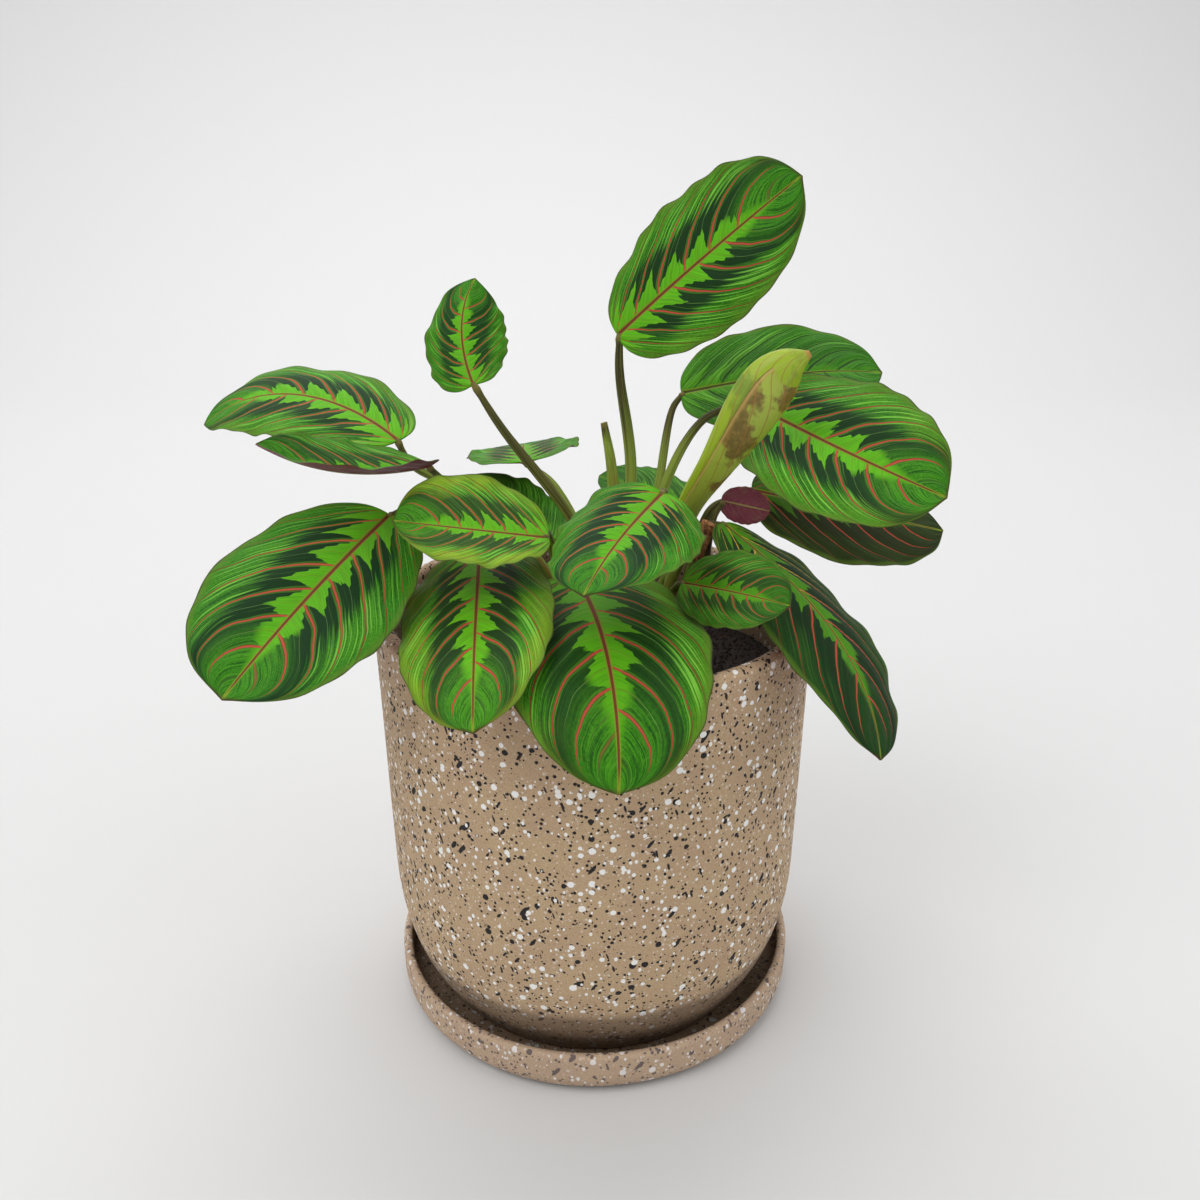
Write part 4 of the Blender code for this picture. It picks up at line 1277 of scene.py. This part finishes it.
def make_rolled_leaf(settings, material):
    """The youngest leaf: one sheet rolled past a full turn, open and pointed at its top."""
    rows, around = 64, 72
    axis = smooth_line(ROLLED_AXIS, rows + 1)
    sizes = smooth_line([(radius, 0, 0) for radius in ROLLED_RADII], rows + 1)
    shape = bmesh.new()
    sheet = shape.loops.layers.uv.new("LeafMap")
    sideways = Vector((1, 0, 0))
    grid = []
    for row in range(rows + 1):
        ahead = (axis[min(row + 1, rows)] - axis[max(row - 1, 0)]).normalized()
        sideways = (sideways - ahead * sideways.dot(ahead)).normalized()
        frontways = ahead.cross(sideways)
        along = row / rows
        line = []
        for step in range(around + 1):
            part = step / around
            angle = math.radians(ROLLED_START) + 2 * math.pi * (1 + settings.overlap) * (1 - part)
            spread = 0.88 + 0.10 * part + 0.02 * math.sin(9 * along + 5 * part)
            pair = []
            drop = 0.045 * max(0.0, (part - 0.62) / 0.38) ** 1.5 * along**3
            level = (along - drop) * rows
            low = min(int(level), rows - 1)
            middle = axis[low].lerp(axis[low + 1], level - low)
            for wall in (0.0, -ROLLED_WALL):
                radius = max(sizes[row].x * spread + wall * (1 - (2 * part - 1) ** 8), 0.15)
                deep = frontways * math.sin(angle) * radius * ROLLED_FLATNESS
                offset = sideways * math.cos(angle) * radius + deep
                pair.append(shape.verts.new((middle + offset) * MM))
            line.append((*pair, (along, part)))
        grid.append(line)
    lay_faces(shape, sheet, grid, False)
    for row in (0, rows):
        for step in range(around):
            near, far = grid[row][step], grid[row][step + 1]
            face = shape.faces.new([near[0], near[1], far[1], far[0]])
            for loop, corner in zip(face.loops, (near, near, far, far)):
                loop[sheet].uv = corner[2]
    mesh = close_mesh(shape, "rolled_leaf_sheet")
    made = link_mesh("rolled_leaf_sheet", mesh, material)
    return finish_piece(made, "rolled_young_leaf")


def stalk_radii(base, tip, total, swelling):
    """Radii along a stalk: wide in its sheath, slim above, with a joint under the blade."""
    radii = []
    for ring in range(total):
        up = ring / (total - 1)
        radius = tip + (base - tip) * (1 - up) ** STALK_TAPER
        radius *= 1 + swelling * math.exp(-(((up - 0.965) / 0.022) ** 2))
        radius *= 1 + 0.05 * math.sin(up * 23) * (1 - up)
        radii.append(radius)
    return radii


# Operators


class PLANT_OT_planter(bpy.types.Operator):
    """Make the speckled pot and its saucer"""

    bl_idname = "plant.planter"
    bl_label = "Pot and Saucer"

    def execute(self, context):
        settings = context.scene.plant_planter
        speck_group()
        stone_group()
        pot = turned_mesh("speckled_pot", pot_outline(), settings.turns, hand_made)
        made = link_mesh("speckled_pot", pot, stone_material(settings, "pot_stone", True))
        finish_piece(made, "pot")
        saucer = turned_mesh("speckled_saucer", saucer_outline(), settings.turns, hand_made)
        made = link_mesh("speckled_saucer", saucer, stone_material(settings, "saucer_stone", False))
        finish_piece(made, "saucer")
        return {"FINISHED"}


class PLANT_OT_soil(bpy.types.Operator):
    """Fill the pot with crumbly soil"""

    bl_idname = "plant.soil"
    bl_label = "Potting Soil"

    def execute(self, context):
        settings = context.scene.plant_soil
        soil, bark = soil_materials(settings)
        made = link_mesh("crumbly_soil", turned_mesh("crumbly_soil", soil_outline(), 120, clods))
        modifier = made.modifiers.new("Crumbs", "NODES")
        modifier.node_group = crumb_tree()
        set_inputs(
            modifier, Crumb_Size=settings.crumb_size, Density=settings.crumb_density, Seed=settings.seed,
            Soil=soil, Bark=bark,
        )
        settle(made)
        finish_piece(made, "potting_soil")
        return {"FINISHED"}


class PLANT_OT_leaves(bpy.types.Operator):
    """Make every open leaf blade"""

    bl_idname = "plant.leaves"
    bl_label = "Leaves"

    def execute(self, context):
        settings = context.scene.plant_leaves
        leaf_group()
        underside_group()
        materials = leaf_materials(settings)
        for place in BLADES:
            make_leaf(place, settings, materials)
        return {"FINISHED"}


class PLANT_OT_stalks(bpy.types.Operator):
    """Make the leaf stalks and the sheaths that clasp them"""

    bl_idname = "plant.stalks"
    bl_label = "Stalks and Sheaths"

    def execute(self, context):
        settings = context.scene.plant_stalks
        stalk_group()
        green = stalk_material(settings)
        dry = dry_material(settings)
        for number, (place, stalk) in enumerate(STALKS.items()):
            blade = BLADES[place]
            forward = blade_frames(blade, 5)[0][3]
            foot = Vector((*stalk.root, SOIL_TOP - STALK_SUNK))
            head = Vector(blade.joint) + forward * STALK_REACH
            line = smooth_line([foot, *stalk.via, head], settings.rings)
            radii = stalk_radii(stalk.base_radius, stalk.tip_radius, settings.rings, settings.swelling)
            tone = (stalk.browning, 1.0, number * 3.7)
            made = tube(place + "_stalk", line, radii, tone, green, settings.sides)
            finish_piece(made, place + "_leaf_stalk")
        line = smooth_line(ROLLED_ROOT, ROLLED_STALK_RINGS)
        radii = [ROLLED_STALK_RADIUS] * ROLLED_STALK_RINGS
        made = tube("rolled_leaf_base", line, radii, (0.1, 1.0, 5.0), green, settings.sides)
        finish_piece(made, "rolled_leaf_stalk")
        for name, (points, radius, slot) in SHEATHS.items():
            line = smooth_line(points, SHEATH_RINGS)
            finish, narrowing = (dry, DRY_NARROWING) if slot == "dry_sheath" else (green, GREEN_NARROWING)
            climb = [ring / (SHEATH_RINGS - 1) for ring in range(SHEATH_RINGS)]
            radii = [radius * (1 - narrowing * part**1.5) for part in climb]
            tone = (0.15, 1.0, 9.0)
            made = tube(name + "_tip", line, radii, tone, finish, settings.sides, SHEATH_FLATNESS)
            finish_piece(made, name)
        return {"FINISHED"}


class PLANT_OT_young_leaf(bpy.types.Operator):
    """Make the leaf that is still rolled up"""

    bl_idname = "plant.young_leaf"
    bl_label = "Young Leaf"

    def execute(self, context):
        settings = context.scene.plant_young_leaf
        make_rolled_leaf(settings, young_leaf_material(settings))
        return {"FINISHED"}


class PLANT_OT_stage(bpy.types.Operator):
    """Lay the pale floor and set the soft lights and the camera"""

    bl_idname = "plant.stage"
    bl_label = "Stage"

    def execute(self, context):
        settings = context.scene.plant_stage
        make_floor(settings)
        make_lights(settings)
        make_camera(settings)
        return {"FINISHED"}


def make_floor(settings):
    """A pale floor that curves up into a backdrop."""
    material, wires, shader = new_material("pale_floor")
    soft = wires.noise(object_place(wires), 3.0, 2.0)
    tone = wires.mix(wires.times(soft, 0.06), settings.floor, (0.72, 0.72, 0.72))
    wires.feed(shader.inputs["Base Color"], tone)
    shader.inputs["Roughness"].default_value = 0.9
    shader.inputs["Specular IOR Level"].default_value = 0.1
    near, far, top, bend, half = -7.0, 2.5, 4.0, 0.9, 8.0
    outline = [(near, 0.0), (far - bend, 0.0)]
    outline += arc((far - bend, bend), bend, -84, 0, 14)
    outline += [(far, top)]
    points, faces = [], []
    for y, z in outline:
        points += [(-half, y, z), (half, y, z)]
    for row in range(len(outline) - 1):
        faces.append((2 * row, 2 * row + 1, 2 * row + 3, 2 * row + 2))
    mesh = bpy.data.meshes.new("floor_and_backdrop")
    mesh.from_pydata(points, [], faces)
    mesh.shade_smooth()
    link_mesh("floor_and_backdrop", mesh, material)


def make_lights(settings):
    """Soft lights above to the left, to the right and over the backdrop, and light all round."""
    for name, share_of_key, place, aim, size in (
        ("key_light", 1.0, (-0.75, -0.75, 1.35), (0, 0, 0.2), 1.1),
        ("side_light", 0.3, (1.1, -0.5, 0.9), (0, 0, 0.2), 1.0),
        ("backdrop_light", 8.4, (-0.2, 1.9, 2.8), (-0.1, 2.6, 1.0), 3.8),
    ):
        data = bpy.data.lights.new(name, "AREA")
        data.energy, data.size, data.shape = settings.key_power * share_of_key, size, "DISK"
        made = bpy.data.objects.new(name, data)
        made.location = place
        made.rotation_euler = (Vector(aim) - Vector(place)).to_track_quat("-Z", "Y").to_euler()
        bpy.context.scene.collection.objects.link(made)
    world = bpy.data.worlds.new("soft_room")
    world.use_nodes = True
    back = world.node_tree.nodes["Background"]
    back.inputs["Color"].default_value = (1.0, 1.0, 1.0, 1.0)
    back.inputs["Strength"].default_value = settings.fill
    bpy.context.scene.world = world


def make_camera(settings):
    data = bpy.data.cameras.new("front_camera")
    data.lens, data.sensor_width = settings.lens, 36.0
    data.clip_start, data.clip_end = 0.02, 20.0
    made = bpy.data.objects.new("front_camera", data)
    tilt = Matrix.Rotation(math.radians(90 - CAMERA_TILT), 4, "X")
    roll = Matrix.Rotation(math.radians(CAMERA_ROLL), 4, "Y")
    turn = Matrix.Rotation(math.radians(CAMERA_TURN), 4, "Z")
    made.matrix_world = Matrix.Translation(CAMERA_PLACE) @ tilt @ roll @ turn
    bpy.context.scene.collection.objects.link(made)
    bpy.context.scene.camera = made
    bpy.context.scene.view_settings.view_transform = "Standard"


class PLANT_PT_panel(bpy.types.Panel):
    """Lists what makes up the plant"""

    bl_idname = "PLANT_PT_panel"
    bl_label = "Prayer Plant"
    bl_space_type = "VIEW_3D"
    bl_region_type = "UI"
    bl_category = "Plant"

    def draw(self, context):
        for (name, group), operator in zip(SETTINGS.items(), OPERATORS):
            box = self.layout.box()
            box.operator(operator.bl_idname)
            settings = getattr(context.scene, name)
            for field in group.__annotations__:
                box.prop(settings, field)


SETTINGS = {
    "plant_planter": PlanterSettings,
    "plant_soil": SoilSettings,
    "plant_leaves": LeafSettings,
    "plant_stalks": StalkSettings,
    "plant_young_leaf": YoungLeafSettings,
    "plant_stage": StageSettings,
}
OPERATORS = (
    PLANT_OT_planter,
    PLANT_OT_soil,
    PLANT_OT_leaves,
    PLANT_OT_stalks,
    PLANT_OT_young_leaf,
    PLANT_OT_stage,
)


def register():
    for made in (*SETTINGS.values(), *OPERATORS, PLANT_PT_panel):
        bpy.utils.register_class(made)
    for name, group in SETTINGS.items():
        setattr(bpy.types.Scene, name, bpy.props.PointerProperty(type=group))


def unregister():
    for name in SETTINGS:
        delattr(bpy.types.Scene, name)
    for made in (PLANT_PT_panel, *reversed(OPERATORS), *reversed(SETTINGS.values())):
        bpy.utils.unregister_class(made)


def main():
    register()
    bpy.ops.plant.planter()
    bpy.ops.plant.soil()
    bpy.ops.plant.leaves()
    bpy.ops.plant.stalks()
    bpy.ops.plant.young_leaf()
    bpy.ops.plant.stage()


if __name__ == "__main__":
    main()
